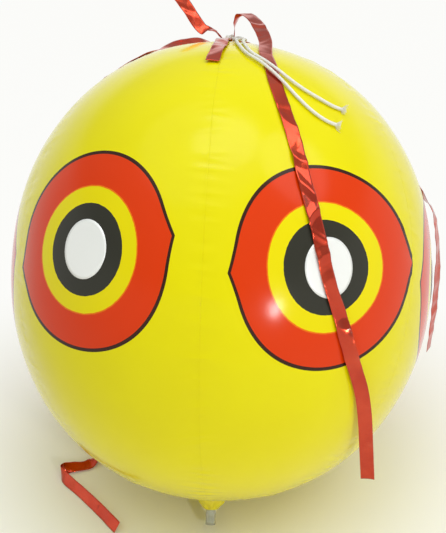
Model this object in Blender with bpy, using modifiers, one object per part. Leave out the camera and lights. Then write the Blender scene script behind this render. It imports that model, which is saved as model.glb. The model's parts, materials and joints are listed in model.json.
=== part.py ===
"""Bird scare balloon: an inflated vinyl ball of six lapped and welded panels with foil pupils, resting on
its own soft underside. A welded tab at the crown carries a tied string and five metallised film streamers,
and a push-in valve with its flap and plug sits at the lower pole.

Metres, +Z up. The origin is the middle of the flat that the ball's weight presses into its underside.
The ball's own frame has its axis along Z, from the valve to the crown. An azimuth in it is measured from
the front, towards the right, and a polar angle from the crown.
"""

import math

import bmesh
import bpy
from mathutils import Euler, Matrix, Vector

# The ball
BALLOON_RADIUS = 0.200
BALLOON_HALF_HEIGHT = 0.2175
PROFILE_EXPONENT = 2.1
REST_FLAT_RADIUS = 0.036
LEAN_BACK = math.radians(33.0)
LEAN_SIDE = math.radians(3.0)

# Its panels, each with one edge tucked under the next panel's and welded there
PANEL_COUNT = 6
PANEL_ANGLE = 2.0 * math.pi / PANEL_COUNT
FIRST_SEAM_AZIMUTH = math.radians(-5.8)
PANEL_ROWS = 28
PANEL_COLUMNS = 5
PANEL_FILM = 0.00025
SEAM_LAP = 0.005
SEAM_JOGGLE = 0.0006
SEAM_DIP = 0.0012
CROWN_OPENING_RADIUS = 0.016
VALVE_OPENING_RADIUS = 0.013
SEAT_CLEARANCE = 0.0003

# Foil pupils
PUPIL_RADIUS = 0.0245
PUPIL_THICKNESS = 0.0003
PUPIL_RINGS = 3
PUPIL_SIDES = 20

# How far each panel's print and pupil sit off its middle, to the right and up, as the printing came out
PUPIL_SHIFTS = [
    (-0.0010, -0.0016),
    (0.0012, -0.0020),
    (-0.0020, 0.0010),
    (0.0015, 0.0020),
    (-0.0010, -0.0010),
    (0.0016, 0.0056),
]

# Crown patch and hanging tab
CROWN_PATCH_RADIUS = 0.022
PATCH_THICKNESS = 0.0005
TAB_FOOT_RADIUS = 0.0075
TAB_FOOT_THICKNESS = 0.0008
TAB_WIDTH = 0.010
TAB_HEIGHT = 0.0092
TAB_THICKNESS = 0.0008
TAB_HOLE_RADIUS = 0.0022
TAB_HOLE_HEIGHT = 0.0046

# String
STRING_RADIUS = 0.0015
STRING_ROUND_STEPS = 2
RING_STEPS = 20
RING_SIDES = 10
STRING_STEP = 0.0065
LOOP_RADIUS = 0.0034
LOOP_SWING = math.radians(-24.0)
WRAP_RADIUS = 0.0029
WRAP_PITCH = 0.0022
WRAP_TILT = math.radians(9.0)
KNOT_SIDE = -0.0035
KNOT_FRONT = 0.0064
KNOT_RISE = 0.0074

# Gathered waist of the streamers inside the string's wraps
GATHER_LENGTH = 0.010
GATHER_NECK_LENGTH = 0.0056
GATHER_RADIUS = 0.0013
GATHER_NECK_RADIUS = 0.0010
GATHER_STEPS = 14

# Streamers
STREAMER_WIDTH = 0.012
STREAMER_FILM = 0.0003
STREAMER_START_WIDTH = 0.0024
STREAMER_FAN_LENGTH = 0.016
STREAMER_STEP = 0.0065
ARCH_SPAN = 0.030

# Valve
STEM_RADIUS = 0.0050
STEM_BORE_RADIUS = 0.0032
STEM_OUTER_REACH = 0.0244
STEM_INNER_REACH = 0.0010
STEM_FLANGE_RADIUS = 0.0090
STEM_FLANGE_THICKNESS = 0.0010
BOOT_PATCH_RADIUS = 0.024
BOOT_WALL = 0.0006
BOOT_SHOULDER_RADIUS = 0.0125
BOOT_SHOULDER_HEIGHT = 0.0025
BOOT_HEIGHT = 0.0114
FLAP_RADIUS = 0.0042
FLAP_THICKNESS = 0.0005
FLAP_EAR_WIDTH = 0.0030
PLUG_SHANK_LENGTH = 0.0070
PLUG_SHANK_CLEARANCE = 0.0002
PLUG_CAP_RADIUS = 0.0048
PLUG_CAP_THICKNESS = 0.0015
PLUG_DIMPLE_RADIUS = 0.0026
PLUG_DIMPLE_DEPTH = 0.0004
PLUG_CHAMFER = 0.0005

TURN_STEPS = 32
SMALL_TURN_STEPS = 24
MERGE_DISTANCE = 0.00001

# The ball's frame in the world: its tilt, the level of the table, and where its centre stands. The ball's
# outline is a slightly squared ellipse, and the table touches it where the outline's tangent is level.
TILT = Euler((-LEAN_BACK, LEAN_SIDE, 0.0)).to_matrix()
DOWN = TILT.transposed() @ Vector((0.0, 0.0, -1.0))
SUPPORT_EXPONENT = PROFILE_EXPONENT / (PROFILE_EXPONENT - 1.0)
RING_PULL = BALLOON_RADIUS * math.hypot(DOWN.x, DOWN.y)
AXIS_PULL = -BALLOON_HALF_HEIGHT * DOWN.z
SUPPORT_DISTANCE = (RING_PULL ** SUPPORT_EXPONENT + AXIS_PULL ** SUPPORT_EXPONENT) ** (1.0 / SUPPORT_EXPONENT)
SUPPORT_RING = BALLOON_RADIUS * (RING_PULL / SUPPORT_DISTANCE) ** (SUPPORT_EXPONENT - 1.0)
SUPPORT_DEPTH = BALLOON_HALF_HEIGHT * (AXIS_PULL / SUPPORT_DISTANCE) ** (SUPPORT_EXPONENT - 1.0)
FLAT_DISTANCE = SUPPORT_DISTANCE * math.sqrt(1.0 - (REST_FLAT_RADIUS / BALLOON_RADIUS) ** 2)
FLAT_CENTRE = Vector((DOWN.x, DOWN.y, 0.0)).normalized() * SUPPORT_RING - Vector((0.0, 0.0, SUPPORT_DEPTH))
FLAT_CENTRE *= FLAT_DISTANCE / SUPPORT_DISTANCE
BALLOON_CENTRE = -(TILT @ FLAT_CENTRE)

# Depth of a panel's tucked edge under the face of the next panel
TUCK_DEPTH = PANEL_FILM + SEAT_CLEARANCE

CROWN_Z = BALLOON_HALF_HEIGHT
FOOT_Z = CROWN_Z + SEAT_CLEARANCE + PATCH_THICKNESS + SEAT_CLEARANCE
TAB_HOLE_Z = FOOT_Z + TAB_FOOT_THICKNESS + TAB_HOLE_HEIGHT
KNOT = Vector((KNOT_SIDE, -KNOT_FRONT, CROWN_Z + KNOT_RISE))

# Where each streamer leaves the gathered waist: which end of it, then y and z as shares of its radius
FRONT_START_SHARES = (1.0, 0.50, 0.80)
RIGHT_START_SHARES = (1.0, 1.00, -1.10)
LEFT_START_SHARES = (-1.0, 0.20, -0.70)
BACK_START_SHARES = (-1.0, -0.20, 0.70)

# Routes of the streamers. AIR places are shares of the arch's span from the streamer's start, with the
# direction of the band's width. SKIN places are azimuth and polar angle in degrees, then the lift off the
# skin as a share of the band's width, and the band's turn about its own run in degrees. HANG places are
# shares of the ball's radius from its centre, in the world's directions, with the direction of the width.
# FLOOR places are such shares across the table and the lift as a share of the band's width, and then the
# direction of the width.
FRONT_ROUTE_SHARES = [
    ("AIR", (0.00, 0.00, 0.00), (0, 1, 0)),
    ("AIR", (0.02, -0.08, 0.30), (0, 1, 0)),
    ("AIR", (0.07, -0.20, 0.58), (0.1, 1, 0)),
    ("AIR", (0.22, -0.44, 0.70), (0.3, 1, 0.2)),
    ("AIR", (0.47, -0.92, 0.49), (0.7, 0.7, 0.4)),
    ("AIR", (0.70, -1.58, 0.02), (0.9, 0.3, 0.4)),
    ("AIR", (0.88, -2.40, -0.64), (1, 0.1, 0.3)),
    ("SKIN", (14.6, 32.0, 0.16, 0)),
    ("SKIN", (14.2, 38.0, 0.07, 0)),
    ("SKIN", (13.6, 46.0, 0.07, 0)),
    ("SKIN", (14.6, 56.0, 0.09, 0)),
    ("SKIN", (16.3, 65.5, 0.07, 0)),
    ("SKIN", (17.8, 74.0, 0.09, 0)),
    ("SKIN", (20.4, 83.5, 0.13, 0)),
    ("SKIN", (23.8, 93.0, 0.13, 0)),
    ("SKIN", (27.4, 99.5, 0.16, 5)),
    ("SKIN", (31.0, 106.5, 0.46, 38)),
    ("HANG", (0.545, -0.885, 0.060), (0.9, 0.3, 0)),
    ("HANG", (0.578, -0.885, -0.050), (1, 0.1, 0)),
    ("HANG", (0.602, -0.880, -0.180), (1, 0, 0)),
    ("HANG", (0.620, -0.875, -0.340), (1, -0.1, 0)),
    ("HANG", (0.642, -0.868, -0.548), (1, -0.2, 0)),
]
RIGHT_ROUTE_SHARES = [
    ("AIR", (0.00, 0.00, 0.00), (0, 1, 0)),
    ("AIR", (0.30, 0.12, 0.02), (0, 1, 0)),
    ("AIR", (0.74, 0.46, -0.02), (0, 1, 0)),
    ("SKIN", (100.0, 15.0, 0.36, 0)),
    ("SKIN", (97.0, 26.0, 0.20, 0)),
    ("SKIN", (95.0, 37.0, 0.12, 0)),
    ("SKIN", (94.0, 48.0, 0.10, 0)),
    ("SKIN", (92.0, 59.0, 0.14, 0)),
    ("SKIN", (88.0, 69.0, 0.34, 0)),
    ("HANG", (1.006, 0.060, 0.290), (0.2, 1, 0)),
    ("HANG", (1.040, 0.040, 0.130), (0.4, 0.9, 0)),
    ("HANG", (1.056, 0.034, -0.050), (0.6, 0.8, 0)),
    ("HANG", (1.060, 0.032, -0.260), (0.6, 0.8, 0)),
    ("HANG", (1.056, 0.024, -0.480), (0.5, 0.9, 0)),
]
LEFT_ROUTE_SHARES = [
    ("AIR", (0.00, 0.00, 0.00), (0, 1, 0)),
    ("AIR", (-0.22, 0.02, -0.06), (0, 1, 0.2)),
    ("AIR", (-0.80, 0.00, -0.04), (0, 0.7, 0.7)),
    ("AIR", (-1.45, -0.12, -0.20), (0, 0.7, 0.7)),
    ("SKIN", (-75.0, 23.5, 0.40, 30)),
    ("SKIN", (-77.0, 33.0, 0.20, 10)),
    ("SKIN", (-84.0, 44.0, 0.12, 0)),
    ("SKIN", (-93.0, 55.0, 0.10, 0)),
    ("SKIN", (-103.0, 66.0, 0.12, 0)),
    ("SKIN", (-110.5, 75.0, 0.24, 0)),
    ("HANG", (-0.915, 0.450, -0.060), (0.6, 0.8, 0)),
    ("HANG", (-0.905, 0.450, -0.280), (0.7, 0.7, 0)),
    ("HANG", (-0.895, 0.440, -0.560), (0.8, 0.6, 0)),
    ("HANG", (-0.885, 0.410, -0.850), (0.9, 0.4, 0)),
    ("FLOOR", (-0.881, 0.385, 1.05), (1, 0.1, 0)),
    ("FLOOR", (-0.872, 0.335, 0.30), (1, 0.1, 0)),
    ("FLOOR", (-0.854, 0.265, 0.08), (1, 0.1, 0)),
    ("FLOOR", (-0.812, 0.140, 0.06), (1, 0.2, 0)),
    ("FLOOR", (-0.725, -0.030, 0.12), (0.9, 0.4, 0)),
    ("FLOOR", (-0.652, -0.130, 0.36), (0.6, 0.5, 0.5)),
    ("FLOOR", (-0.690, -0.205, 0.20), (-0.3, 0.9, 0.15)),
    ("FLOOR", (-0.765, -0.232, 0.33), (-0.3, 0.9, 0.30)),
    ("FLOOR", (-0.822, -0.268, 0.52), (0.1, 0.7, 0.7)),
    ("FLOOR", (-0.790, -0.330, 0.52), (0.4, 0.4, 0.9)),
    ("FLOOR", (-0.700, -0.430, 0.50), (0.4, 0.4, 0.9)),
    ("FLOOR", (-0.605, -0.540, 0.48), (0.4, 0.4, 0.8)),
    ("FLOOR", (-0.500, -0.672, 0.46), (0.4, 0.4, 0.7)),
]
BACK_ROUTE_SHARES = [
    ("AIR", (0.00, 0.00, 0.00), (0, 1, 0)),
    ("AIR", (-0.12, 0.03, 0.12), (0, 1, 0)),
    ("AIR", (-0.36, 0.24, 0.34), (0.4, 0.8, 0.3)),
    ("AIR", (-0.62, 0.34, 0.36), (0.5, 0.3, 0.8)),
    ("AIR", (-0.84, 0.38, 0.58), (0.8, 0.1, 0.6)),
    ("AIR", (-1.16, 0.40, 1.04), (0.8, 0.2, 0.6)),
    ("AIR", (-1.52, 0.42, 1.50), (0.8, 0, 0.6)),
    ("AIR", (-1.86, 0.38, 1.86), (0.8, 0.2, 0.5)),
]
TAIL_ROUTE_SHARES = [
    ("AIR", (0.00, 0.00, 0.00), (1, -0.2, 0)),
    ("AIR", (-0.04, -0.22, -0.06), (1, -0.2, 0.1)),
    ("SKIN", (-13.0, 8.0, 0.30, 10)),
    ("SKIN", (-9.5, 14.0, 0.14, -6)),
    ("SKIN", (-8.0, 20.0, 0.26, 8)),
    ("SKIN", (-7.5, 26.0, 0.16, -8)),
    ("SKIN", (-8.0, 32.0, 0.24, 8)),
    ("SKIN", (-8.5, 38.5, 0.20, -4)),
]

# Routes of the string's two tails over the ball, in metres in the world
UPPER_STRAND_ROUTE = [
    (0.0109, 0.1267, 0.4062),
    (0.0124, 0.1264, 0.4063),
    (0.0159, 0.1227, 0.4077),
    (0.0178, 0.1168, 0.4100),
    (0.0233, 0.1031, 0.4120),
    (0.0226, 0.0849, 0.4181),
    (0.0209, 0.0638, 0.4240),
    (0.0225, 0.0393, 0.4276),
    (0.0280, 0.0186, 0.4279),
    (0.0375, 0.0049, 0.4264),
    (0.0477, -0.0068, 0.4228),
    (0.0579, -0.0166, 0.4176),
    (0.0694, -0.0238, 0.4113),
    (0.0821, -0.0282, 0.4048),
    (0.0945, -0.0295, 0.3980),
    (0.1067, -0.0262, 0.3918),
]
LOWER_STRAND_ROUTE = [
    (0.0107, 0.1256, 0.4028),
    (0.0119, 0.1251, 0.4029),
    (0.0135, 0.1191, 0.4071),
    (0.0140, 0.1131, 0.4095),
    (0.0184, 0.1000, 0.4132),
    (0.0160, 0.0824, 0.4193),
    (0.0144, 0.0624, 0.4248),
    (0.0171, 0.0380, 0.4281),
    (0.0235, 0.0161, 0.4283),
    (0.0343, 0.0008, 0.4265),
    (0.0438, -0.0118, 0.4227),
    (0.0539, -0.0251, 0.4167),
    (0.0648, -0.0380, 0.4086),
    (0.0762, -0.0473, 0.4005),
    (0.0880, -0.0508, 0.3932),
    (0.1001, -0.0495, 0.3875),
]


def clear_scene():
    """Removes every object of the open file."""
    for item in list(bpy.data.objects):
        bpy.data.objects.remove(item, do_unlink=True)


def new_collection(name):
    """A collection linked to the scene."""
    collection = bpy.data.collections.new(name)
    bpy.context.scene.collection.children.link(collection)
    return collection


def new_material(name, hex_colour, roughness, metallic=0.0, alpha=1.0):
    """A Principled material from an sRGB hex colour."""
    channels = [int(hex_colour[i:i + 2], 16) / 255.0 for i in (0, 2, 4)]
    linear = [c / 12.92 if c <= 0.04045 else ((c + 0.055) / 1.055) ** 2.4 for c in channels]
    material = bpy.data.materials.new(name)
    material.use_nodes = True
    shader = material.node_tree.nodes["Principled BSDF"]
    shader.inputs["Base Color"].default_value = (*linear, 1.0)
    shader.inputs["Roughness"].default_value = roughness
    shader.inputs["Metallic"].default_value = metallic
    shader.inputs["Alpha"].default_value = alpha
    material.diffuse_color = (*linear, alpha)
    return material


def add_object(name, data, material, parent, location=(0.0, 0.0, 0.0)):
    """One named part with its own material, placed in its parent's frame."""
    part = bpy.data.objects.new(name, data)
    part.data.materials.append(material)
    part.parent = parent
    part.location = location
    PARTS.objects.link(part)
    return part


def add_empty(name, parent, location, rotation=(0.0, 0.0, 0.0)):
    """An empty that carries parts."""
    empty = bpy.data.objects.new(name, None)
    empty.parent = parent
    empty.location = location
    empty.rotation_euler = rotation
    PARTS.objects.link(empty)
    return empty


def mesh_from(name, points, faces, edges=()):
    """A smooth-shaded mesh from points and faces."""
    mesh = bpy.data.meshes.new(name)
    mesh.from_pydata([tuple(point) for point in points], list(edges), faces)
    mesh.update()
    if faces:
        mesh.shade_smooth()
        mesh.set_sharp_from_angle(angle=math.radians(35.0))
    return mesh


def grid_faces(rows, columns):
    """Quads of a grid of points stored row by row."""
    return [
        (r * columns + c, (r + 1) * columns + c, (r + 1) * columns + c + 1, r * columns + c + 1)
        for r in range(rows - 1)
        for c in range(columns - 1)
    ]


def add_wall(part, thickness, offset):
    """Gives an open surface its wall."""
    wall = part.modifiers.new("Wall", "SOLIDIFY")
    wall.thickness = thickness
    wall.offset = offset
    wall.use_even_offset = offset != 0.0
    return wall


def add_turned(name, profile, steps, material, parent):
    """A turned part: a closed profile of (radius, height) swept round its parent's Z."""
    points = [(radius, 0.0, height) for radius, height in profile]
    closed = profile[0][0] > 0.0 or profile[-1][0] > 0.0
    edges = [(i, i + 1) for i in range(len(points) - 1)]
    if closed:
        edges.append((len(points) - 1, 0))
    part = add_object(name, mesh_from(name, points, [], edges), material, parent)
    screw = part.modifiers.new("Turn", "SCREW")
    screw.angle = 2.0 * math.pi
    screw.steps = steps
    screw.render_steps = steps
    screw.use_merge_vertices = True
    screw.merge_threshold = MERGE_DISTANCE
    screw.use_smooth_shade = True
    return part


def squared(value, power):
    """A share raised to a power with its sign kept."""
    return math.copysign(abs(value) ** power, value)


def ring_radius(polar):
    """Distance of the skin from the axis at a polar angle."""
    return BALLOON_RADIUS * max(math.sin(polar), 0.0) ** (2.0 / PROFILE_EXPONENT)


def polar_at_ring(radius):
    """Polar angle near the crown at a distance from the axis."""
    return math.asin((radius / BALLOON_RADIUS) ** (PROFILE_EXPONENT / 2.0))


def polar_at_height(height):
    """Polar angle at a height over the ball's centre."""
    return math.acos(squared(height / BALLOON_HALF_HEIGHT, PROFILE_EXPONENT / 2.0))


def pole_drop(radius):
    """How far the skin falls below its pole at this distance from the axis."""
    share = 1.0 - (radius / BALLOON_RADIUS) ** PROFILE_EXPONENT
    return BALLOON_HALF_HEIGHT * (1.0 - share ** (1.0 / PROFILE_EXPONENT))


def skin_normal(azimuth, polar):
    """Outward direction of the inflated skin."""
    power = 2.0 - 2.0 / PROFILE_EXPONENT
    ring = max(math.sin(polar), 0.0) ** power / BALLOON_RADIUS
    rise = squared(math.cos(polar), power) / BALLOON_HALF_HEIGHT
    return Vector((ring * math.sin(azimuth), -ring * math.cos(azimuth), rise)).normalized()


def skin_point(azimuth, polar, lift=0.0):
    """Place on the inflated skin, or outside it by the lift: round, drawn in at the seams, and pressed
    flat where the ball rests."""
    share = ((azimuth - FIRST_SEAM_AZIMUTH) / PANEL_ANGLE) % 1.0
    dip = SEAM_DIP * (1.0 - math.sin(math.pi * share))
    radius = ring_radius(polar) * (1.0 - dip / BALLOON_RADIUS)
    height = BALLOON_HALF_HEIGHT * squared(math.cos(polar), 2.0 / PROFILE_EXPONENT)
    point = Vector((radius * math.sin(azimuth), -radius * math.cos(azimuth), height))
    point += skin_normal(azimuth, polar) * lift
    depth = point.dot(DOWN) - (FLAT_DISTANCE + lift)
    if depth > 0.0:
        point -= DOWN * depth
    return point


def panel_columns(polar):
    """Azimuths of a panel's columns from its open edge, each with its lift off the skin. The last two
    step down under the next panel and run on as the tucked edge."""
    ring = ring_radius(polar)
    lap = SEAM_LAP / ring
    last = PANEL_ANGLE - SEAM_JOGGLE / ring
    columns = [(0.0, 0.0)]
    for index in range(PANEL_COLUMNS + 1):
        columns.append((lap + (last - lap) * index / PANEL_COLUMNS, 0.0))
    columns.append((PANEL_ANGLE, -TUCK_DEPTH))
    columns.append((PANEL_ANGLE + lap, -TUCK_DEPTH))
    return columns


def add_panel(number, material, parent):
    """One panel of the ball, from the crown's opening to the valve's."""
    first = FIRST_SEAM_AZIMUTH + PANEL_ANGLE * number
    top = polar_at_ring(CROWN_OPENING_RADIUS)
    bottom = math.pi - polar_at_ring(VALVE_OPENING_RADIUS)
    points = []
    for row in range(PANEL_ROWS + 1):
        polar = top + (bottom - top) * row / PANEL_ROWS
        for azimuth, lift in panel_columns(polar):
            points.append(skin_point(first + azimuth, polar, lift))
    columns = len(panel_columns(top))
    name = "gore_panel_%d" % (number + 1)
    panel = add_object(name, mesh_from(name, points, grid_faces(PANEL_ROWS + 1, columns)), material, parent)
    add_wall(panel, PANEL_FILM, -1.0)
    return panel


def add_pupil(number, material, parent):
    """A round foil pupil stuck on a panel's printed eye."""
    side_shift, rise = PUPIL_SHIFTS[number]
    middle = FIRST_SEAM_AZIMUTH + PANEL_ANGLE * (number + 0.5) + side_shift / BALLOON_RADIUS
    points = [skin_point(middle, polar_at_height(rise), SEAT_CLEARANCE)]
    for ring in range(1, PUPIL_RINGS + 1):
        reach = PUPIL_RADIUS * ring / PUPIL_RINGS
        for side in range(PUPIL_SIDES):
            angle = 2.0 * math.pi * side / PUPIL_SIDES
            azimuth = middle + reach * math.cos(angle) / BALLOON_RADIUS
            polar = polar_at_height(rise + reach * math.sin(angle))
            points.append(skin_point(azimuth, polar, SEAT_CLEARANCE))
    faces = [(0, 1 + side, 1 + (side + 1) % PUPIL_SIDES) for side in range(PUPIL_SIDES)]
    for ring in range(PUPIL_RINGS - 1):
        inner = 1 + ring * PUPIL_SIDES
        outer = inner + PUPIL_SIDES
        for side in range(PUPIL_SIDES):
            after = (side + 1) % PUPIL_SIDES
            faces.append((inner + side, outer + side, outer + after, inner + after))
    name = "pupil_disc_%d" % (number + 1)
    pupil = add_object(name, mesh_from(name, points, faces), material, parent)
    add_wall(pupil, PUPIL_THICKNESS, 1.0)
    return pupil


def add_crown_patch(material, parent):
    """The round patch over the panels' upper tips."""
    inner = []
    outer = []
    steps = 5
    for step in range(steps + 1):
        radius = CROWN_PATCH_RADIUS * step / steps
        level = CROWN_Z - pole_drop(radius) + SEAT_CLEARANCE
        inner.append((radius, level))
        outer.append((radius, level + PATCH_THICKNESS))
    return add_turned("crown_patch", outer + inner[::-1], TURN_STEPS, material, parent)


def mesh_of_curve(curve, name):
    """A curve's evaluated shape as a mesh with its caps welded."""
    holder = bpy.data.objects.new(name, curve)
    PARTS.objects.link(holder)
    bpy.context.view_layer.update()
    mesh = bpy.data.meshes.new_from_object(holder.evaluated_get(bpy.context.evaluated_depsgraph_get()))
    bpy.data.objects.remove(holder, do_unlink=True)
    welded = bmesh.new()
    welded.from_mesh(mesh)
    bmesh.ops.remove_doubles(welded, verts=welded.verts, dist=MERGE_DISTANCE)
    bmesh.ops.recalc_face_normals(welded, faces=welded.faces)
    welded.to_mesh(mesh)
    welded.free()
    return mesh


def add_outline(curve, points):
    """A closed straight-edged outline of a flat curve."""
    spline = curve.splines.new("POLY")
    spline.points.add(len(points) - 1)
    for knot, (x, y) in zip(spline.points, points):
        knot.co = (x, y, 0.0, 1.0)
    spline.use_cyclic_u = True


def hide_cutter(part):
    """Moves a working shape to the cutters, out of the model."""
    PARTS.objects.unlink(part)
    CUTTERS.objects.link(part)
    part.hide_render = True
    part.display_type = "WIRE"


def add_union(part, other):
    """Joins another shape to a part."""
    hide_cutter(other)
    union = part.modifiers.new("Join", "BOOLEAN")
    union.operation = "UNION"
    union.solver = "EXACT"
    union.object = other


def add_hang_tab(material, parent):
    """The hanging tab: a holed ear standing on a round welded foot."""
    half = TAB_WIDTH / 2.0
    shoulder = TAB_HEIGHT - half
    root = -TAB_FOOT_THICKNESS / 2.0
    arc_steps = 10
    ear = [(-half, root), (half, root)]
    for step in range(arc_steps + 1):
        angle = math.pi * step / arc_steps
        ear.append((half * math.cos(angle), shoulder + half * math.sin(angle)))
    hole_steps = 16
    hole = []
    for step in range(hole_steps):
        angle = -2.0 * math.pi * step / hole_steps
        hole.append((TAB_HOLE_RADIUS * math.cos(angle), TAB_HOLE_HEIGHT + TAB_HOLE_RADIUS * math.sin(angle)))
    curve = bpy.data.curves.new("hang_tab_outline", "CURVE")
    curve.dimensions = "2D"
    curve.fill_mode = "BOTH"
    curve.extrude = TAB_THICKNESS / 2.0
    add_outline(curve, ear)
    add_outline(curve, hole)
    mesh = mesh_of_curve(curve, "hang_tab")
    top_of_foot = FOOT_Z + TAB_FOOT_THICKNESS
    mesh.transform(Matrix.Translation((0.0, 0.0, top_of_foot)) @ Matrix.Rotation(math.pi / 2.0, 4, "X"))
    tab = add_object("hang_tab", mesh, material, parent)
    foot_profile = [
        (0.0, top_of_foot),
        (TAB_FOOT_RADIUS, top_of_foot),
        (TAB_FOOT_RADIUS, FOOT_Z),
        (0.0, FOOT_Z),
    ]
    foot = add_turned("hang_tab_foot", foot_profile, SMALL_TURN_STEPS, material, parent)
    add_union(tab, foot)
    return tab


def add_string_ring(name, centre, radius, turn, material, parent):
    """A round turn of the string about the world's X, swung about Z."""
    bpy.ops.mesh.primitive_torus_add(
        major_radius=radius, minor_radius=STRING_RADIUS, major_segments=RING_STEPS, minor_segments=RING_SIDES
    )
    ring = bpy.context.object
    ring.name = name
    for collection in list(ring.users_collection):
        collection.objects.unlink(ring)
    PARTS.objects.link(ring)
    ring.data.materials.append(material)
    ring.parent = parent
    ring.location = centre
    ring.rotation_euler = (0.0, math.pi / 2.0, turn)
    ring.data.shade_smooth()
    return ring


def add_string_knot(material, parent):
    """The knot: a loop through the tab's hole and two wraps round the streamers, pulled into one."""
    loop_centre = Vector((0.0, 0.0, TAB_HOLE_Z + LOOP_RADIUS))
    step = Vector((WRAP_PITCH / 2.0, 0.0, 0.0))
    knot = add_string_ring("string_knot", KNOT - step, WRAP_RADIUS, WRAP_TILT, material, parent)
    second = add_string_ring("string_wrap", KNOT + step, WRAP_RADIUS, -WRAP_TILT, material, parent)
    loop = add_string_ring("string_loop", loop_centre, LOOP_RADIUS, LOOP_SWING, material, parent)
    add_union(knot, second)
    add_union(knot, loop)
    return knot


def add_gather(material, parent):
    """The streamers' crumpled waist, held by the wraps."""
    half = GATHER_LENGTH / 2.0
    neck = GATHER_NECK_LENGTH / 2.0
    profile = [
        (0.0, half),
        (GATHER_RADIUS, half),
        (GATHER_NECK_RADIUS, neck),
        (GATHER_NECK_RADIUS, -neck),
        (GATHER_RADIUS, -half),
        (0.0, -half),
    ]
    gather = add_turned("streamer_gather", profile, GATHER_STEPS, material, parent)
    gather.location = KNOT
    gather.rotation_euler = (0.0, math.pi / 2.0, 0.0)
    return gather


def balloon_from_world(point):
    """A place given in the world, in the ball's frame."""
    return TILT.transposed() @ (Vector(point) - BALLOON_CENTRE)


def gather_start(shares):
    """Where a streamer begins, just off an end of the gathered waist."""
    end, side, rise = shares
    reach = GATHER_LENGTH / 2.0 + SEAT_CLEARANCE + STREAMER_FILM / 2.0
    return KNOT + Vector((end * reach, side * GATHER_RADIUS, rise * GATHER_RADIUS))


def tail_start():
    """Where the short tail comes out under the front of the wraps."""
    reach = (WRAP_RADIUS + STRING_RADIUS + SEAT_CLEARANCE + STREAMER_FILM) * math.sqrt(0.5)
    return KNOT + Vector((0.0, -reach, -reach))


def station_place(kind, numbers, start):
    """A station's place in the ball's frame, and the outward direction of what it lies on."""
    if kind == "AIR":
        return start + Vector(numbers) * ARCH_SPAN, None
    if kind == "SKIN":
        azimuth, polar = math.radians(numbers[0]), math.radians(numbers[1])
        return skin_point(azimuth, polar, numbers[2] * STREAMER_WIDTH), skin_normal(azimuth, polar)
    if kind == "HANG":
        return TILT.transposed() @ (Vector(numbers) * BALLOON_RADIUS), None
    across = Vector((numbers[0], numbers[1], 0.0)) * BALLOON_RADIUS
    level = across + Vector((0.0, 0.0, numbers[2] * STREAMER_WIDTH - BALLOON_CENTRE.z))
    return TILT.transposed() @ level, None


def route_tangents(places):
    """Cumulative lengths along the stations, and the run's direction at each."""
    lengths = [0.0]
    for before, after in zip(places, places[1:]):
        lengths.append(lengths[-1] + (after - before).length)
    tangents = []
    last = len(places) - 1
    for index in range(len(places)):
        low = max(index - 1, 0)
        high = min(index + 1, last)
        tangents.append((places[high] - places[low]) / (lengths[high] - lengths[low]))
    return lengths, tangents


def station_side(station, normal, tangent):
    """Direction of the band's width at a station."""
    kind = station[0]
    run = tangent.normalized()
    if kind == "AIR":
        side = Vector(station[2])
    elif kind in ("HANG", "FLOOR"):
        side = TILT.transposed() @ Vector(station[2])
    else:
        turn = math.radians(station[1][3])
        side = normal.cross(run).normalized() * math.cos(turn) + normal * math.sin(turn)
    return (side - run * side.dot(run)).normalized()


def band_sections(stations, start):
    """Evenly spaced places, width directions and distances along a streamer's smooth route."""
    placed = [station_place(station[0], station[1], start) for station in stations]
    places = [place for place, _ in placed]
    lengths, tangents = route_tangents(places)
    sides = []
    for station, (_, normal), tangent in zip(stations, placed, tangents):
        side = station_side(station, normal, tangent)
        if sides and side.dot(sides[-1]) < 0.0:
            side = -side
        sides.append(side)
    sections = []
    for index in range(len(places) - 1):
        span = lengths[index + 1] - lengths[index]
        count = max(2, math.ceil(span / STREAMER_STEP))
        for step in range(count + (index == len(places) - 2)):
            t = step / count
            place = (
                places[index] * (2 * t ** 3 - 3 * t ** 2 + 1)
                + tangents[index] * (span * (t ** 3 - 2 * t ** 2 + t))
                + places[index + 1] * (3 * t ** 2 - 2 * t ** 3)
                + tangents[index + 1] * (span * (t ** 3 - t ** 2))
            )
            side = sides[index].lerp(sides[index + 1], t * t * (3 - 2 * t)).normalized()
            sections.append((place, side))
    return sections


def add_streamer(name, stations, start, material, parent):
    """A band of metallised film, fanned out from the knot to its full width."""
    sections = band_sections(stations, start)
    points = []
    distance = 0.0
    before = sections[0][0]
    for place, side in sections:
        distance += (place - before).length
        before = place
        spread = min(1.0, distance / STREAMER_FAN_LENGTH)
        spread = spread * spread * (3.0 - 2.0 * spread)
        width = STREAMER_START_WIDTH + (STREAMER_WIDTH - STREAMER_START_WIDTH) * spread
        points.append(place - side * (width / 2.0) - start)
        points.append(place + side * (width / 2.0) - start)
    mesh = mesh_from(name, points, grid_faces(len(sections), 2))
    streamer = add_object(name, mesh, material, parent, start)
    add_wall(streamer, STREAMER_FILM, 0.0)
    print("streamer", name, "length %.4f" % distance, "width", STREAMER_WIDTH)
    return streamer


def smooth_route(points, step):
    """Points along a smooth curve through a route's own points, about a step apart."""
    places = [Vector(point) for point in points]
    lengths, tangents = route_tangents(places)
    smooth = []
    for index in range(len(places) - 1):
        span = lengths[index + 1] - lengths[index]
        count = max(1, round(span / step))
        for number in range(count + (index == len(places) - 2)):
            t = number / count
            smooth.append(
                places[index] * (2 * t ** 3 - 3 * t ** 2 + 1)
                + tangents[index] * (span * (t ** 3 - 2 * t ** 2 + t))
                + places[index + 1] * (3 * t ** 2 - 2 * t ** 3)
                + tangents[index + 1] * (span * (t ** 3 - t ** 2))
            )
    return smooth


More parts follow.
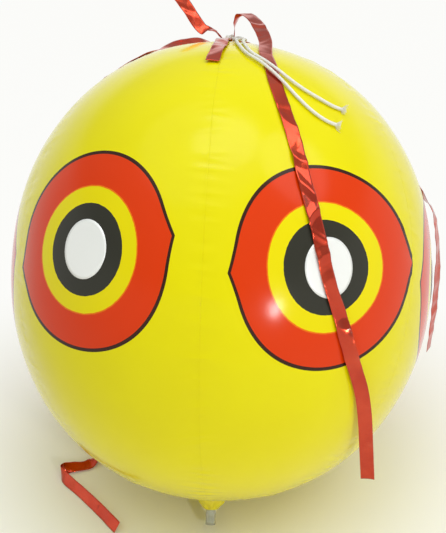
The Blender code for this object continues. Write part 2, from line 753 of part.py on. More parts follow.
def add_strand(name, route, hinge, material, parent):
    """A free tail of the string, as a tube along its route."""
    curve = bpy.data.curves.new(name, "CURVE")
    curve.dimensions = "3D"
    curve.bevel_depth = STRING_RADIUS
    curve.bevel_resolution = STRING_ROUND_STEPS
    curve.use_fill_caps = True
    places = smooth_route(route, STRING_STEP)
    spline = curve.splines.new("POLY")
    spline.points.add(len(places) - 1)
    length = 0.0
    for index, (knot, place) in enumerate(zip(spline.points, places)):
        knot.co = (*(balloon_from_world(place) - hinge), 1.0)
        if index:
            length += (place - places[index - 1]).length
    print("strand", name, "length %.4f" % length, "points", len(places))
    return add_object(name, curve, material, parent, hinge)


def add_valve(vinyl, clear, parent):
    """The valve: a boot welded over the panels' lower tips, a clear stem that slides in it, a flap over
    the stem's inner end and a plug in its outer end. Heights run outwards from the pole."""
    def patch_level(radius):
        return SEAT_CLEARANCE - pole_drop(radius)

    mouth_gap = STEM_RADIUS + SEAT_CLEARANCE + BOOT_WALL
    slope = (BOOT_SHOULDER_RADIUS - mouth_gap) / (BOOT_HEIGHT - BOOT_SHOULDER_HEIGHT)
    mouth = STEM_RADIUS + SEAT_CLEARANCE
    shoulder_inside = BOOT_SHOULDER_RADIUS - BOOT_WALL
    middle_radius = (BOOT_PATCH_RADIUS + BOOT_SHOULDER_RADIUS) / 2.0
    boot_profile = [
        (mouth, BOOT_HEIGHT),
        (mouth + BOOT_WALL, BOOT_HEIGHT),
        (BOOT_SHOULDER_RADIUS, BOOT_SHOULDER_HEIGHT),
        (BOOT_SHOULDER_RADIUS + BOOT_WALL, patch_level(BOOT_SHOULDER_RADIUS) + 2.0 * PATCH_THICKNESS),
        (middle_radius, patch_level(middle_radius) + PATCH_THICKNESS),
        (BOOT_PATCH_RADIUS, patch_level(BOOT_PATCH_RADIUS) + PATCH_THICKNESS),
        (BOOT_PATCH_RADIUS, patch_level(BOOT_PATCH_RADIUS)),
        (middle_radius, patch_level(middle_radius)),
        (shoulder_inside, patch_level(shoulder_inside)),
        (shoulder_inside, BOOT_SHOULDER_HEIGHT),
    ]
    add_turned("valve_boot", boot_profile, TURN_STEPS, vinyl, parent)

    flange_top = BOOT_SHOULDER_HEIGHT + (shoulder_inside - 2.0 * SEAT_CLEARANCE - STEM_FLANGE_RADIUS) / slope
    flange_bottom = flange_top - STEM_FLANGE_THICKNESS
    stem_profile = [
        (STEM_BORE_RADIUS, STEM_OUTER_REACH),
        (STEM_RADIUS, STEM_OUTER_REACH),
        (STEM_RADIUS, flange_top),
        (STEM_FLANGE_RADIUS, flange_top),
        (STEM_FLANGE_RADIUS, flange_bottom),
        (STEM_RADIUS, flange_bottom),
        (STEM_RADIUS, -STEM_INNER_REACH),
        (STEM_BORE_RADIUS, -STEM_INNER_REACH),
    ]
    add_turned("valve_stem", stem_profile, SMALL_TURN_STEPS, clear, parent)

    flap_top = -STEM_INNER_REACH - SEAT_CLEARANCE
    ear = FLAP_EAR_WIDTH / 2.0
    ear_angle = math.asin(ear / FLAP_RADIUS)
    ear_reach = FLAP_RADIUS + ear / 2.0
    outline = [(-ear, ear_reach), (ear, ear_reach)]
    flap_steps = 18
    for step in range(flap_steps + 1):
        angle = math.pi / 2.0 - ear_angle - (2.0 * math.pi - 2.0 * ear_angle) * step / flap_steps
        outline.append((FLAP_RADIUS * math.cos(angle), FLAP_RADIUS * math.sin(angle)))
    curve = bpy.data.curves.new("valve_flap_outline", "CURVE")
    curve.dimensions = "2D"
    curve.fill_mode = "BOTH"
    curve.extrude = FLAP_THICKNESS / 2.0
    add_outline(curve, [(x, y - ear_reach) for x, y in outline[::-1]])
    flap_mesh = mesh_of_curve(curve, "valve_flap")
    flap_mesh.transform(Matrix.Translation((0.0, 0.0, -FLAP_THICKNESS / 2.0)))
    add_object("valve_flap", flap_mesh, clear, parent, (0.0, ear_reach, flap_top))

    shank = STEM_BORE_RADIUS - PLUG_SHANK_CLEARANCE
    cap_bottom = STEM_OUTER_REACH + SEAT_CLEARANCE
    cap_top = cap_bottom + PLUG_CAP_THICKNESS
    shank_end = cap_bottom - PLUG_SHANK_LENGTH
    plug_profile = [
        (0.0, cap_top - PLUG_DIMPLE_DEPTH),
        (PLUG_DIMPLE_RADIUS, cap_top - PLUG_DIMPLE_DEPTH),
        (PLUG_DIMPLE_RADIUS, cap_top),
        (PLUG_CAP_RADIUS - PLUG_CHAMFER, cap_top),
        (PLUG_CAP_RADIUS, cap_top - PLUG_CHAMFER),
        (PLUG_CAP_RADIUS, cap_bottom),
        (shank, cap_bottom),
        (shank, shank_end + PLUG_CHAMFER),
        (shank - PLUG_CHAMFER, shank_end),
        (0.0, shank_end),
    ]
    add_turned("valve_plug", plug_profile, SMALL_TURN_STEPS, clear, parent)


clear_scene()
PARTS = new_collection("bird_scare_balloon")
CUTTERS = new_collection("cutters")
CUTTERS.hide_render = True

yellow_vinyl = new_material("yellow_vinyl", "F2E60A", 0.18)
clear_vinyl = new_material("clear_vinyl", "E4E6DC", 0.15, alpha=0.5)
silver_foil = new_material("silver_foil", "E8E8E8", 0.25, metallic=0.6)
red_film = new_material("red_metallised_film", "C81E14", 0.22, metallic=0.7)
white_cord = new_material("white_braided_cord", "F4F2EA", 0.85)

axis = add_empty("balloon_axis", None, BALLOON_CENTRE, TILT.to_euler())
valve_seat = add_empty("valve_seat", axis, (0.0, 0.0, -BALLOON_HALF_HEIGHT), (math.pi, 0.0, 0.0))

for panel_number in range(PANEL_COUNT):
    add_panel(panel_number, yellow_vinyl, axis)
    add_pupil(panel_number, silver_foil, axis)
add_crown_patch(yellow_vinyl, axis)
add_hang_tab(yellow_vinyl, axis)
add_string_knot(white_cord, axis)
add_gather(red_film, axis)
add_streamer("streamer_front", FRONT_ROUTE_SHARES, gather_start(FRONT_START_SHARES), red_film, axis)
add_streamer("streamer_right", RIGHT_ROUTE_SHARES, gather_start(RIGHT_START_SHARES), red_film, axis)
add_streamer("streamer_left", LEFT_ROUTE_SHARES, gather_start(LEFT_START_SHARES), red_film, axis)
add_streamer("streamer_back", BACK_ROUTE_SHARES, gather_start(BACK_START_SHARES), red_film, axis)
add_streamer("streamer_tail", TAIL_ROUTE_SHARES, tail_start(), red_film, axis)
front_hinge = gather_start(FRONT_START_SHARES)
add_strand("string_strand_upper", UPPER_STRAND_ROUTE, front_hinge, white_cord, axis)
add_strand("string_strand_lower", LOWER_STRAND_ROUTE, front_hinge, white_cord, axis)
add_valve(yellow_vinyl, clear_vinyl, valve_seat)
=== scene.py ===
"""Bird scare balloon: a glossy yellow vinyl ball of six gores with printed eyes and foil pupils, its string
and five creased streamers of red metallised film at the crown, and a clear push-in valve at the foot.
"""

import json
import math

import bmesh
import bpy
import numpy as np
from mathutils import Matrix, Vector

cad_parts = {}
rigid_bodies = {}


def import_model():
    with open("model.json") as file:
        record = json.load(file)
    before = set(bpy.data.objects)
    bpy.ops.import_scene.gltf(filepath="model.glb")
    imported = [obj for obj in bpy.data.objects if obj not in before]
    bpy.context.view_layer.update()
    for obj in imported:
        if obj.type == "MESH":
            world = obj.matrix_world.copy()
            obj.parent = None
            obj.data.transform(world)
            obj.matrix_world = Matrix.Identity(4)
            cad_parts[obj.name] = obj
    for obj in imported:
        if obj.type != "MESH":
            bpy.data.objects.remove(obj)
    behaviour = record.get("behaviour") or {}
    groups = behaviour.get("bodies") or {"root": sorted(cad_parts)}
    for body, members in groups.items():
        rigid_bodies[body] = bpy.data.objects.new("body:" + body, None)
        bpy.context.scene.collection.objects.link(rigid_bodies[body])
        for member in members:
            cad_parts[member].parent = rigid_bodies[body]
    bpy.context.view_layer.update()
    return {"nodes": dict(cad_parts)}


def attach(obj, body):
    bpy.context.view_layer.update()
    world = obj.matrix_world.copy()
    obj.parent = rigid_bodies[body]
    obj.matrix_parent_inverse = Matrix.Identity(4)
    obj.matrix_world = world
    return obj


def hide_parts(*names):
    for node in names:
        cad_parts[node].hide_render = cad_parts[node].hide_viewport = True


for leftover in list(bpy.data.objects):
    bpy.data.objects.remove(leftover, do_unlink=True)
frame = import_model()

# The ball, as the solids have it, in metres
BALLOON_RADIUS = 0.200
BALLOON_HALF_HEIGHT = 0.2175
PROFILE_EXPONENT = 2.1
REST_FLAT_RADIUS = 0.036
LEAN_BACK = math.radians(33.0)
LEAN_SIDE = math.radians(3.0)
PANEL_COUNT = 6
PANEL_ANGLE = 2.0 * math.pi / PANEL_COUNT
FIRST_SEAM_AZIMUTH = math.radians(-5.8)
PANEL_FILM = 0.00025
SEAM_LAP = 0.005
SEAM_STEP = 0.0002  # the joggle's own run, between the face and the tucked edge
SEAM_DIP = 0.0012
CROWN_OPENING_RADIUS = 0.016
VALVE_OPENING_RADIUS = 0.013
SEAT_CLEARANCE = 0.0003
TUCK_DEPTH = PANEL_FILM + 0.00003
PUPIL_RADIUS = 0.0245
PUPIL_THICKNESS = 0.0003
PUPIL_NARROWING = 0.90
PUPIL_RINGS = 9
PUPIL_SIDES = 56
PUPIL_RUMPLE = 0.00006
# How far each pupil sits off its panel's middle, sideways and upwards
PUPIL_SHIFTS = [
    (-0.0010, -0.0016),
    (0.0012, -0.0020),
    (-0.0020, 0.0010),
    (0.0015, 0.0020),
    (-0.0010, -0.0010),
    (0.0016, 0.0056),
]

# How much narrower each panel's print came out, how much the inflated film drew it to one side, how far it
# sits turned, and its shift sideways
PRINT_SPREADS = [
    (-0.027, 0.154, 0.107, -0.0024),
    (0.0, 0.03, 0.05, 0.0),
    (0.01, -0.02, 0.08, 0.0),
    (0.0, 0.0, 0.03, 0.0),
    (0.01, 0.02, 0.06, 0.0),
    (0.024, -0.112, 0.150, 0.0004),
]
SPREAD_REACH = 0.100

# The print: its edge, the height and reach of its two corners, its outline, the distance that its colour ramp
# spans, and how far the ink strays. Then the welds: half their width, and the spacing of their ribs
PRINT_RADIUS = 0.0844
PRINT_CORNER_HEIGHT = 0.026
PRINT_CORNER_REACH = 0.0055
PRINT_OUTLINE = 0.0031
PRINT_RAMP_REACH = 0.1
INK_WANDER = 0.0008
WELD_HALF_WIDTH = 0.0016
WELD_RIB_PITCH = 0.0016

# Crown and string
CROWN_PATCH_RADIUS = 0.022
PATCH_THICKNESS = 0.0005
TAB_FOOT_RADIUS = 0.0075
TAB_FOOT_THICKNESS = 0.0008
TAB_WIDTH = 0.010
TAB_HEIGHT = 0.0092
TAB_THICKNESS = 0.0008
TAB_HOLE_RADIUS = 0.0022
TAB_HOLE_HEIGHT = 0.0046
TAB_BEVEL = 0.00012
STRING_RADIUS = 0.0015
PLAIT_PITCH = 0.0048
LOOP_RADIUS = 0.0034
LOOP_SWING = math.radians(-24.0)
WRAP_RADIUS = 0.0029
WRAP_PITCH = 0.0022
WRAP_TILT = math.radians(9.0)
GATHER_LENGTH = 0.010
GATHER_NECK_LENGTH = 0.0056
GATHER_RADIUS = 0.0013
GATHER_NECK_RADIUS = 0.0010

# Streamers
STREAMER_WIDTH = 0.012
STREAMER_FILM = 0.0003
STREAMER_START_WIDTH = 0.0024
STREAMER_FAN_LENGTH = 0.012
ARCH_SPAN = 0.030

# Valve
STEM_RADIUS = 0.0050
STEM_BORE_RADIUS = 0.0032
STEM_OUTER_REACH = 0.0244
STEM_INNER_REACH = 0.0010
STEM_FLANGE_RADIUS = 0.0090
STEM_FLANGE_THICKNESS = 0.0010
BOOT_PATCH_RADIUS = 0.024
BOOT_WALL = 0.0006
BOOT_SHOULDER_RADIUS = 0.0125
BOOT_SHOULDER_HEIGHT = 0.0025
BOOT_HEIGHT = 0.0114
PLUG_SHANK_LENGTH = 0.0070
PLUG_SHANK_CLEARANCE = 0.0002
PLUG_CAP_RADIUS = 0.0048
PLUG_CAP_THICKNESS = 0.0015

# How finely the meshes are made
PANEL_ROWS = 330
RIBBON_STEP = 0.0011
RIBBON_COLUMNS = 11
FIRST_FOLD = 0.012
SHARP_ANGLE = math.radians(50.0)
MERGE_DISTANCE = 0.00001
FACE_COLUMNS = 47
STRING_SIDES = 20
KNOT_STEPS = 64

# How the vinyl crinkles: how far from the two poles the creases across the seams begin and end, and how far
# they reach; the pleats round the poles; and the film's slow unevenness, which ends before the poles
FIRST_CREASE = 0.045
LAST_CREASE = 0.040
CREASE_REACH = 0.040
PLEAT_HEIGHT = 0.00028
PLEAT_START = 0.0245
PLEAT_RISE = 0.010
PLEAT_END = 0.070
PLEAT_FALL = 0.045
UNEVENNESS = 0.00007
CALM_REACH = 0.030

# The finishes' grain, in lumps to the metre. A pixel of the picture is about a millimetre, so the orange peel,
# the foil's crinkles and the haze, which are finer in life, are drawn some millimetres across to show at all
INK_GRAIN = 260.0  # 4 mm
MOTTLE_GRAIN = 18.0  # 56 mm
PEEL_GRAIN = 120.0  # 8 mm
WELDED_FILM_GRAIN = 240.0  # 4 mm
FOIL_CRINKLE_GRAIN = 190.0  # 5 mm
FOIL_SHEEN_GRAIN = 420.0  # 2.4 mm
FILM_CRUMPLE_GRAIN = 120.0  # 8 mm
FILM_FACET_GRAIN = 42.0  # 24 mm, two widths of a streamer
FILM_FINE_GRAIN = 330.0  # 3 mm
FILM_TONE_GRAIN = 46.0  # 22 mm
STRING_FIBRE_GRAIN = 1400.0  # 0.7 mm, which shows only close up
CLEAR_HAZE_GRAIN = 300.0  # 3 mm
TUFT_CURL_GRAIN = 160.0  # 6 mm

# The ball's own frame in the world
lean_back = Matrix.Rotation(-LEAN_BACK, 3, "X")
lean_side = Matrix.Rotation(LEAN_SIDE, 3, "Y")
TILT = np.array(lean_side @ lean_back)
DOWN = TILT.T @ np.array((0.0, 0.0, -1.0))
SUPPORT_EXPONENT = PROFILE_EXPONENT / (PROFILE_EXPONENT - 1.0)
ring_pull = BALLOON_RADIUS * math.hypot(DOWN[0], DOWN[1])
axis_pull = -BALLOON_HALF_HEIGHT * DOWN[2]
SUPPORT_DISTANCE = (ring_pull ** SUPPORT_EXPONENT + axis_pull ** SUPPORT_EXPONENT) ** (1.0 / SUPPORT_EXPONENT)
support_ring = BALLOON_RADIUS * (ring_pull / SUPPORT_DISTANCE) ** (SUPPORT_EXPONENT - 1.0)
support_depth = BALLOON_HALF_HEIGHT * (axis_pull / SUPPORT_DISTANCE) ** (SUPPORT_EXPONENT - 1.0)
FLAT_DISTANCE = SUPPORT_DISTANCE * math.sqrt(1.0 - (REST_FLAT_RADIUS / BALLOON_RADIUS) ** 2)
sideways = DOWN[:2] / math.hypot(DOWN[0], DOWN[1]) * support_ring
flat_centre = np.array((sideways[0], sideways[1], -support_depth)) * (FLAT_DISTANCE / SUPPORT_DISTANCE)
BALLOON_CENTRE = -(TILT @ flat_centre)

CROWN_Z = BALLOON_HALF_HEIGHT
FOOT_Z = CROWN_Z + SEAT_CLEARANCE + PATCH_THICKNESS + SEAT_CLEARANCE
TAB_HOLE_Z = FOOT_Z + TAB_FOOT_THICKNESS + TAB_HOLE_HEIGHT
KNOT = np.array((-0.0035, -0.0064, CROWN_Z + 0.0074))


def linked_object(name, data):
    """A new object, in the scene."""
    made = bpy.data.objects.new(name, data)
    bpy.context.scene.collection.objects.link(made)
    return made


def unit_rows(vectors):
    """Vectors along the last axis, each made one long."""
    return vectors / np.linalg.norm(vectors, axis=-1, keepdims=True)


# The camera stands where the photographer did: 30 degrees up and a metre off
CAMERA_DISTANCE = 1.0
CAMERA_RISE = math.radians(30.3)
FOCAL_PIXELS = 1031.0
PICTURE_WIDTH = 446.0
PICTURE_HEIGHT = 533.0
BALL_ACROSS = 221.5
BALL_DOWN = 270.8

sight = np.array((0.0, math.cos(CAMERA_RISE), -math.sin(CAMERA_RISE)))
rise = np.array((0.0, math.sin(CAMERA_RISE), math.cos(CAMERA_RISE)))
aside = np.array((1.0, 0.0, 0.0))
middle_across = (PICTURE_WIDTH / 2.0 - BALL_ACROSS) / FOCAL_PIXELS * CAMERA_DISTANCE
middle_up = (BALL_DOWN - PICTURE_HEIGHT / 2.0) / FOCAL_PIXELS * CAMERA_DISTANCE
lens = bpy.data.cameras.new("camera")
lens.sensor_width = 36.0
lens.lens = FOCAL_PIXELS / PICTURE_HEIGHT * lens.sensor_width
camera = linked_object("camera", lens)
camera.location = BALLOON_CENTRE - sight * CAMERA_DISTANCE + aside * middle_across + rise * middle_up
camera.rotation_euler = (math.pi / 2.0 - CAMERA_RISE, 0.0, 0.0)
bpy.context.scene.camera = camera


def colour(code):
    """An sRGB hex value as a linear colour."""
    shares = [int(code[i:i + 2], 16) / 255.0 for i in (0, 2, 4)]
    return (*[s / 12.92 if s <= 0.04045 else ((s + 0.055) / 1.055) ** 2.4 for s in shares], 1.0)


def node(tree, kind, settings=None, inputs=None):
    """Adds a node, sets it up, and gives each input its value, or the socket or node that feeds it."""
    made = tree.nodes.new(kind)
    for name, value in (settings or {}).items():
        setattr(made, name, value)
    for key, value in (inputs or {}).items():
        if isinstance(value, bpy.types.Node):
            value = value.outputs[0]
        if isinstance(value, bpy.types.NodeSocket):
            tree.links.new(value, made.inputs[key])
        else:
            made.inputs[key].default_value = value
    return made


def finish_material(name, hex_code, settings):
    """A Principled material of one colour, with its tree and shader to build on."""
    material = bpy.data.materials.new(name)
    material.use_nodes = True
    tree = material.node_tree
    shader = tree.nodes["Principled BSDF"]
    shader.inputs["Base Color"].default_value = colour(hex_code)
    for key, value in settings.items():
        shader.inputs[key].default_value = value
    material.diffuse_color = colour(hex_code)
    return material, tree, shader


def grained_finish(name, hex_code, settings, scale, detail, tones, dullness, relief):
    """A material with one fine noise in its colour and its roughness, where they are given, and its relief."""
    material, tree, shader = finish_material(name, hex_code, settings)
    place = node(tree, "ShaderNodeTexCoord")
    grain = node(tree, "ShaderNodeTexNoise", {}, {
        "Vector": place.outputs["Object"], "Scale": scale, "Detail": detail,
    })
    if dullness:
        dull = node(tree, "ShaderNodeMapRange", {}, {0: grain, 3: dullness[0], 4: dullness[1]})
        tree.links.new(dull.outputs[0], shader.inputs["Roughness"])
    if tones:
        tone = node(tree, "ShaderNodeMix", {"data_type": "RGBA"}, {
            0: grain, 6: colour(tones[0]), 7: colour(tones[1]),
        })
        tree.links.new(tone.outputs[2], shader.inputs["Base Color"])
    bump = node(tree, "ShaderNodeBump", {}, {"Strength": relief[0], "Distance": relief[1], "Height": grain})
    tree.links.new(bump.outputs[0], shader.inputs["Normal"])
    return material


def seen_share(tree, share):
    """The share where the eye, gloss or a clear piece looks, and none for other light."""
    ray = node(tree, "ShaderNodeLightPath")
    seen = node(tree, "ShaderNodeMath", {"operation": "MAXIMUM"}, {
        0: ray.outputs["Is Camera Ray"], 1: ray.outputs["Is Glossy Ray"],
    })
    seen_through = node(tree, "ShaderNodeMath", {"operation": "MAXIMUM"}, {
        0: seen, 1: ray.outputs["Is Transmission Ray"],
    })
    return node(tree, "ShaderNodeMath", {"operation": "MULTIPLY"}, {0: share, 1: seen_through})


def squared(value, power):
    """A share raised to a power with its sign kept."""
    return np.sign(value) * np.abs(value) ** power


def ring_radius(polar):
    """Distance of the skin from the axis at a polar angle."""
    return BALLOON_RADIUS * np.maximum(np.sin(polar), 0.0) ** (2.0 / PROFILE_EXPONENT)


def polar_at_ring(radius):
    """Polar angle near the crown at a distance from the axis."""
    return math.asin((radius / BALLOON_RADIUS) ** (PROFILE_EXPONENT / 2.0))


def polar_at_height(height):
    """Polar angle at a height over the ball's centre."""
    return np.arccos(squared(np.asarray(height) / BALLOON_HALF_HEIGHT, PROFILE_EXPONENT / 2.0))


def pole_drop(radius):
    """How far the skin falls below its pole at this distance from the axis."""
    share = 1.0 - (radius / BALLOON_RADIUS) ** PROFILE_EXPONENT
    return BALLOON_HALF_HEIGHT * (1.0 - share ** (1.0 / PROFILE_EXPONENT))


def skin_normal(azimuth, polar):
    """Outward direction of the inflated skin, in the ball's frame."""
    power = 2.0 - 2.0 / PROFILE_EXPONENT
    ring = np.maximum(np.sin(polar), 0.0) ** power / BALLOON_RADIUS
    up = squared(np.cos(polar), power) / BALLOON_HALF_HEIGHT
    normal = np.stack([ring * np.sin(azimuth), -ring * np.cos(azimuth), up + 0.0 * azimuth], axis=-1)
    return unit_rows(normal)


polar_table = np.linspace(0.0, math.pi, 3001)
height_table = BALLOON_HALF_HEIGHT * squared(np.cos(polar_table), 2.0 / PROFILE_EXPONENT)
steps_table = np.hypot(np.diff(ring_radius(polar_table)), np.diff(height_table))
arc_table = np.concatenate([[0.0], np.cumsum(steps_table)])


def arc_from_crown(polar):
    """Distance along a meridian from the crown."""
    return np.interp(polar, polar_table, arc_table)


# Short creases that cross each seam, where the flat panels' edges were drawn together: the place along the
# seam, the height, the reach to both sides, the width, the slope and the shift sideways
rng = np.random.default_rng(11)
seam_creases = []
for seam in range(PANEL_COUNT):
    place = FIRST_CREASE
    creases = []
    while place < arc_table[-1] - LAST_CREASE:
        height = rng.uniform(0.00022, 0.00066) * rng.choice([1.0, 1.0, -0.7])
        creases.append((
            place, height, rng.uniform(0.007, 0.016), rng.uniform(0.0016, 0.0032), rng.uniform(-0.25, 0.25),
            rng.uniform(-0.003, 0.003),
        ))
        place += rng.uniform(0.004, 0.012)
    seam_creases.append(creases)
wave_directions = unit_rows(rng.normal(size=(7, 3)))
wave_lengths = rng.uniform(0.050, 0.110, size=7)
wave_phases = rng.uniform(0.0, 2.0 * math.pi, size=7)


def crinkle(azimuth, polar, place):
    """How the vinyl stands off its ideal shape: creases across the seams, pleats at both poles where the
    panels' tips are gathered, and a slow unevenness of the film."""
    arc = arc_from_crown(polar)
    ring = ring_radius(polar)
    stand = 0.0 * azimuth
    for seam in range(PANEL_COUNT):
        turn = azimuth - FIRST_SEAM_AZIMUTH - PANEL_ANGLE * seam
        turn = (turn + math.pi) % (2.0 * math.pi) - math.pi
        across = turn * ring
        near = np.abs(across) < CREASE_REACH
        if not near.any():
            continue
        x = across[near]
        s = arc[near]
        ridge = 0.0 * x
        for place_along, height, reach, width, slope, off in seam_creases[seam]:
            along = (s - place_along - slope * x) / width
            ridge += height * np.exp(-along ** 2 - ((x - off) / reach) ** 2)
        stand[near] += ridge
    for distance, pleats, phase in ((arc, 36, 0.4), (arc_table[-1] - arc, 30, 1.1)):
        fade = np.clip((distance - PLEAT_START) / PLEAT_RISE, 0.0, 1.0)
        fade = fade * np.clip((PLEAT_END - distance) / PLEAT_FALL, 0.0, 1.0)
        stand += PLEAT_HEIGHT * fade * np.cos(pleats * azimuth + phase + 0.6 * np.sin(5.0 * azimuth))
    waves = np.sin(place @ wave_directions.T * (2.0 * math.pi / wave_lengths) + wave_phases).sum(axis=-1)
    calm = np.clip((arc - CALM_REACH) / CALM_REACH, 0.0, 1.0)
    calm = calm * np.clip((arc_table[-1] - arc - CALM_REACH) / CALM_REACH, 0.0, 1.0)
    return stand + UNEVENNESS * waves * calm


def to_world(place):
    """Places in the ball's frame, in the world."""
    return place @ TILT.T + BALLOON_CENTRE


def skin_point(azimuth, polar, lift=0.0, creased=False):
    """Places on the ball's skin or off it by the lift, in the ball's frame, pressed flat on the table."""
    azimuth, polar, lift = np.broadcast_arrays(
        np.asarray(azimuth, float), np.asarray(polar, float), np.asarray(lift, float)
    )
    share = ((azimuth - FIRST_SEAM_AZIMUTH) / PANEL_ANGLE) % 1.0
    dip = SEAM_DIP * (1.0 - np.sin(math.pi * share))
    radius = ring_radius(polar) * (1.0 - dip / BALLOON_RADIUS)
    height = BALLOON_HALF_HEIGHT * squared(np.cos(polar), 2.0 / PROFILE_EXPONENT)
    place = np.stack([radius * np.sin(azimuth), -radius * np.cos(azimuth), height], axis=-1)
    stand = np.array(lift)
    if creased:
        stand = stand + crinkle(azimuth, polar, place)
    place = place + skin_normal(azimuth, polar) * stand[..., None]
    depth = np.maximum(place @ DOWN - (FLAT_DISTANCE + lift), 0.0)
    return place - DOWN * depth[..., None]


def grid_faces(rows, columns, closed=False):
    """Quads of a grid of points stored row by row, joined round where it is closed."""
    span = columns if closed else columns - 1
    return [
        (
            r * columns + c, (r + 1) * columns + c,
            (r + 1) * columns + (c + 1) % columns, r * columns + (c + 1) % columns,
        )
        for r in range(rows - 1)
        for c in range(span)
    ]


def new_piece(name, points, faces, material, body, nodes):
    """A piece from world points and faces, riding on its body and standing for its nodes."""
    mesh = bpy.data.meshes.new(name)
    mesh.from_pydata([tuple(point) for point in points], [], faces)
    return piece_from_mesh(name, mesh, material, body, nodes)


def piece_from_mesh(name, mesh, material, body, nodes):
    """A piece from a mesh in world places."""
    mesh.update()
    mesh.shade_smooth()
    piece = linked_object(name, mesh)
    if not mesh.materials:
        mesh.materials.append(material)
    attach(piece, body)
    if nodes:
        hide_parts(*nodes)
    return piece


def add_wall(piece, thickness, offset):
    """Gives an open surface its wall."""
    wall = piece.modifiers.new("Wall", "SOLIDIFY")
    wall.thickness = thickness
    wall.offset = offset
    wall.use_even_offset = False


def set_uv(mesh, name, places):
    """A UV map with one place for each point of the mesh."""
    layer = mesh.uv_layers.new(name=name)
    index = np.empty(len(mesh.loops), dtype=np.int64)
    mesh.loops.foreach_get("vertex_index", index)
    layer.data.foreach_set("uv", np.asarray(places, dtype=np.float32)[index].ravel())


# Calendered PVC film with screen-printed eyes: deep gloss, an even strong yellow, faint orange peel, and
# high-frequency welds along the seams that show as fine cross ribs
vinyl_eye, tree, shader = finish_material("calendered_pvc_with_printed_eye", "F0DF00", {
    "Roughness": 0.15, "IOR": 1.54, "Specular IOR Level": 0.10, "Coat Weight": 0.5, "Coat Roughness": 0.20,
    "Coat IOR": 1.25,
})
print_place = node(tree, "ShaderNodeUVMap", {"uv_map": "print"})
reach = node(tree, "ShaderNodeVectorMath", {"operation": "LENGTH"}, {0: print_place.outputs["UV"]})
parts = node(tree, "ShaderNodeSeparateXYZ", {}, {0: print_place.outputs["UV"]})
height = node(tree, "ShaderNodeMath", {"operation": "ABSOLUTE"}, {0: parts.outputs["Y"]})
corner = node(tree, "ShaderNodeMath", {"operation": "MULTIPLY_ADD", "use_clamp": True},
              {0: height, 1: -1.0 / PRINT_CORNER_HEIGHT, 2: 1.0})
flare = node(tree, "ShaderNodeMath", {"operation": "MULTIPLY"}, {0: corner, 1: corner})
edge = node(tree, "ShaderNodeMath", {"operation": "MULTIPLY_ADD"}, {
    0: flare, 1: -PRINT_CORNER_REACH, 2: -PRINT_RADIUS,
})
inside = node(tree, "ShaderNodeMath", {"operation": "ADD"}, {0: reach.outputs["Value"], 1: edge})
# Ink coverage wanders by a few tenths of a millimetre at the edges of a screen print
ink_place = node(tree, "ShaderNodeTexCoord")
ink_noise = node(tree, "ShaderNodeTexNoise", {}, {
    "Vector": ink_place.outputs["Object"], "Scale": INK_GRAIN, "Detail": 2.0,
})
wander = node(tree, "ShaderNodeMath", {"operation": "MULTIPLY_ADD"},
              {0: ink_noise, 1: INK_WANDER, 2: -INK_WANDER / 2.0})
ring_reach = node(tree, "ShaderNodeMath", {"operation": "ADD"}, {0: reach.outputs["Value"], 1: wander})
ring_share = node(tree, "ShaderNodeMath", {"operation": "DIVIDE"}, {0: ring_reach, 1: PRINT_RAMP_REACH})
rings = node(tree, "ShaderNodeValToRGB", {}, {0: ring_share})
ramp = rings.color_ramp
ramp.interpolation = "CONSTANT"
ramp.elements[0].color = colour("35342C")
ramp.elements[1].position = 0.380
ramp.elements[1].color = colour("F0DF00")
orange = ramp.elements.new(0.523)
orange.color = colour("F0780C")
red = ramp.elements.new(0.532)
red.color = colour("E23C04")
mottle = node(tree, "ShaderNodeTexNoise", {}, {
    "Vector": ink_place.outputs["Object"], "Scale": MOTTLE_GRAIN, "Detail": 3.0,
})
dark_edge = node(tree, "ShaderNodeMath", {"operation": "GREATER_THAN"}, {0: inside, 1: -PRINT_OUTLINE})
outside = node(tree, "ShaderNodeMath", {"operation": "GREATER_THAN"}, {0: inside, 1: 0.0})
outlined = node(tree, "ShaderNodeMix", {"data_type": "RGBA"}, {
    0: dark_edge, 6: rings.outputs["Color"], 7: colour("3A2016"),
})
yellow = node(tree, "ShaderNodeMix", {"data_type": "RGBA"}, {
    0: mottle, 6: colour("F0E500"), 7: colour("EADC00"),
})
printed = node(tree, "ShaderNodeMix", {"data_type": "RGBA"}, {
    0: outside, 6: outlined.outputs[2], 7: yellow.outputs[2],
})
tree.links.new(printed.outputs[2], shader.inputs["Base Color"])
seam_place = node(tree, "ShaderNodeUVMap", {"uv_map": "seam"})
seam_parts = node(tree, "ShaderNodeSeparateXYZ", {}, {0: seam_place.outputs["UV"]})
seam_off = node(tree, "ShaderNodeMath", {"operation": "SUBTRACT"}, {
    0: seam_parts.outputs["X"], 1: SEAM_LAP / 2.0,
})
seam_far = node(tree, "ShaderNodeMath", {"operation": "ABSOLUTE"}, {0: seam_off})
weld = node(tree, "ShaderNodeMath", {"operation": "LESS_THAN"}, {0: seam_far, 1: WELD_HALF_WIDTH})
rib_turn = node(tree, "ShaderNodeMath", {"operation": "MULTIPLY"}, {
    0: seam_parts.outputs["Y"], 1: 2.0 * math.pi / WELD_RIB_PITCH,
})
rib_wave = node(tree, "ShaderNodeMath", {"operation": "SINE"}, {0: rib_turn})
ribs = node(tree, "ShaderNodeMath", {"operation": "MULTIPLY"}, {0: rib_wave, 1: weld})
peel = node(tree, "ShaderNodeTexNoise", {}, {
    "Vector": ink_place.outputs["Object"], "Scale": PEEL_GRAIN, "Detail": 3.0,
})
peel_bump = node(tree, "ShaderNodeBump", {}, {"Strength": 0.10, "Distance": 0.0006, "Height": peel})
weld_bump = node(tree, "ShaderNodeBump", {}, {
    "Strength": 0.10, "Distance": 0.0001, "Height": ribs, "Normal": peel_bump,
})
tree.links.new(weld_bump.outputs[0], shader.inputs["Normal"])

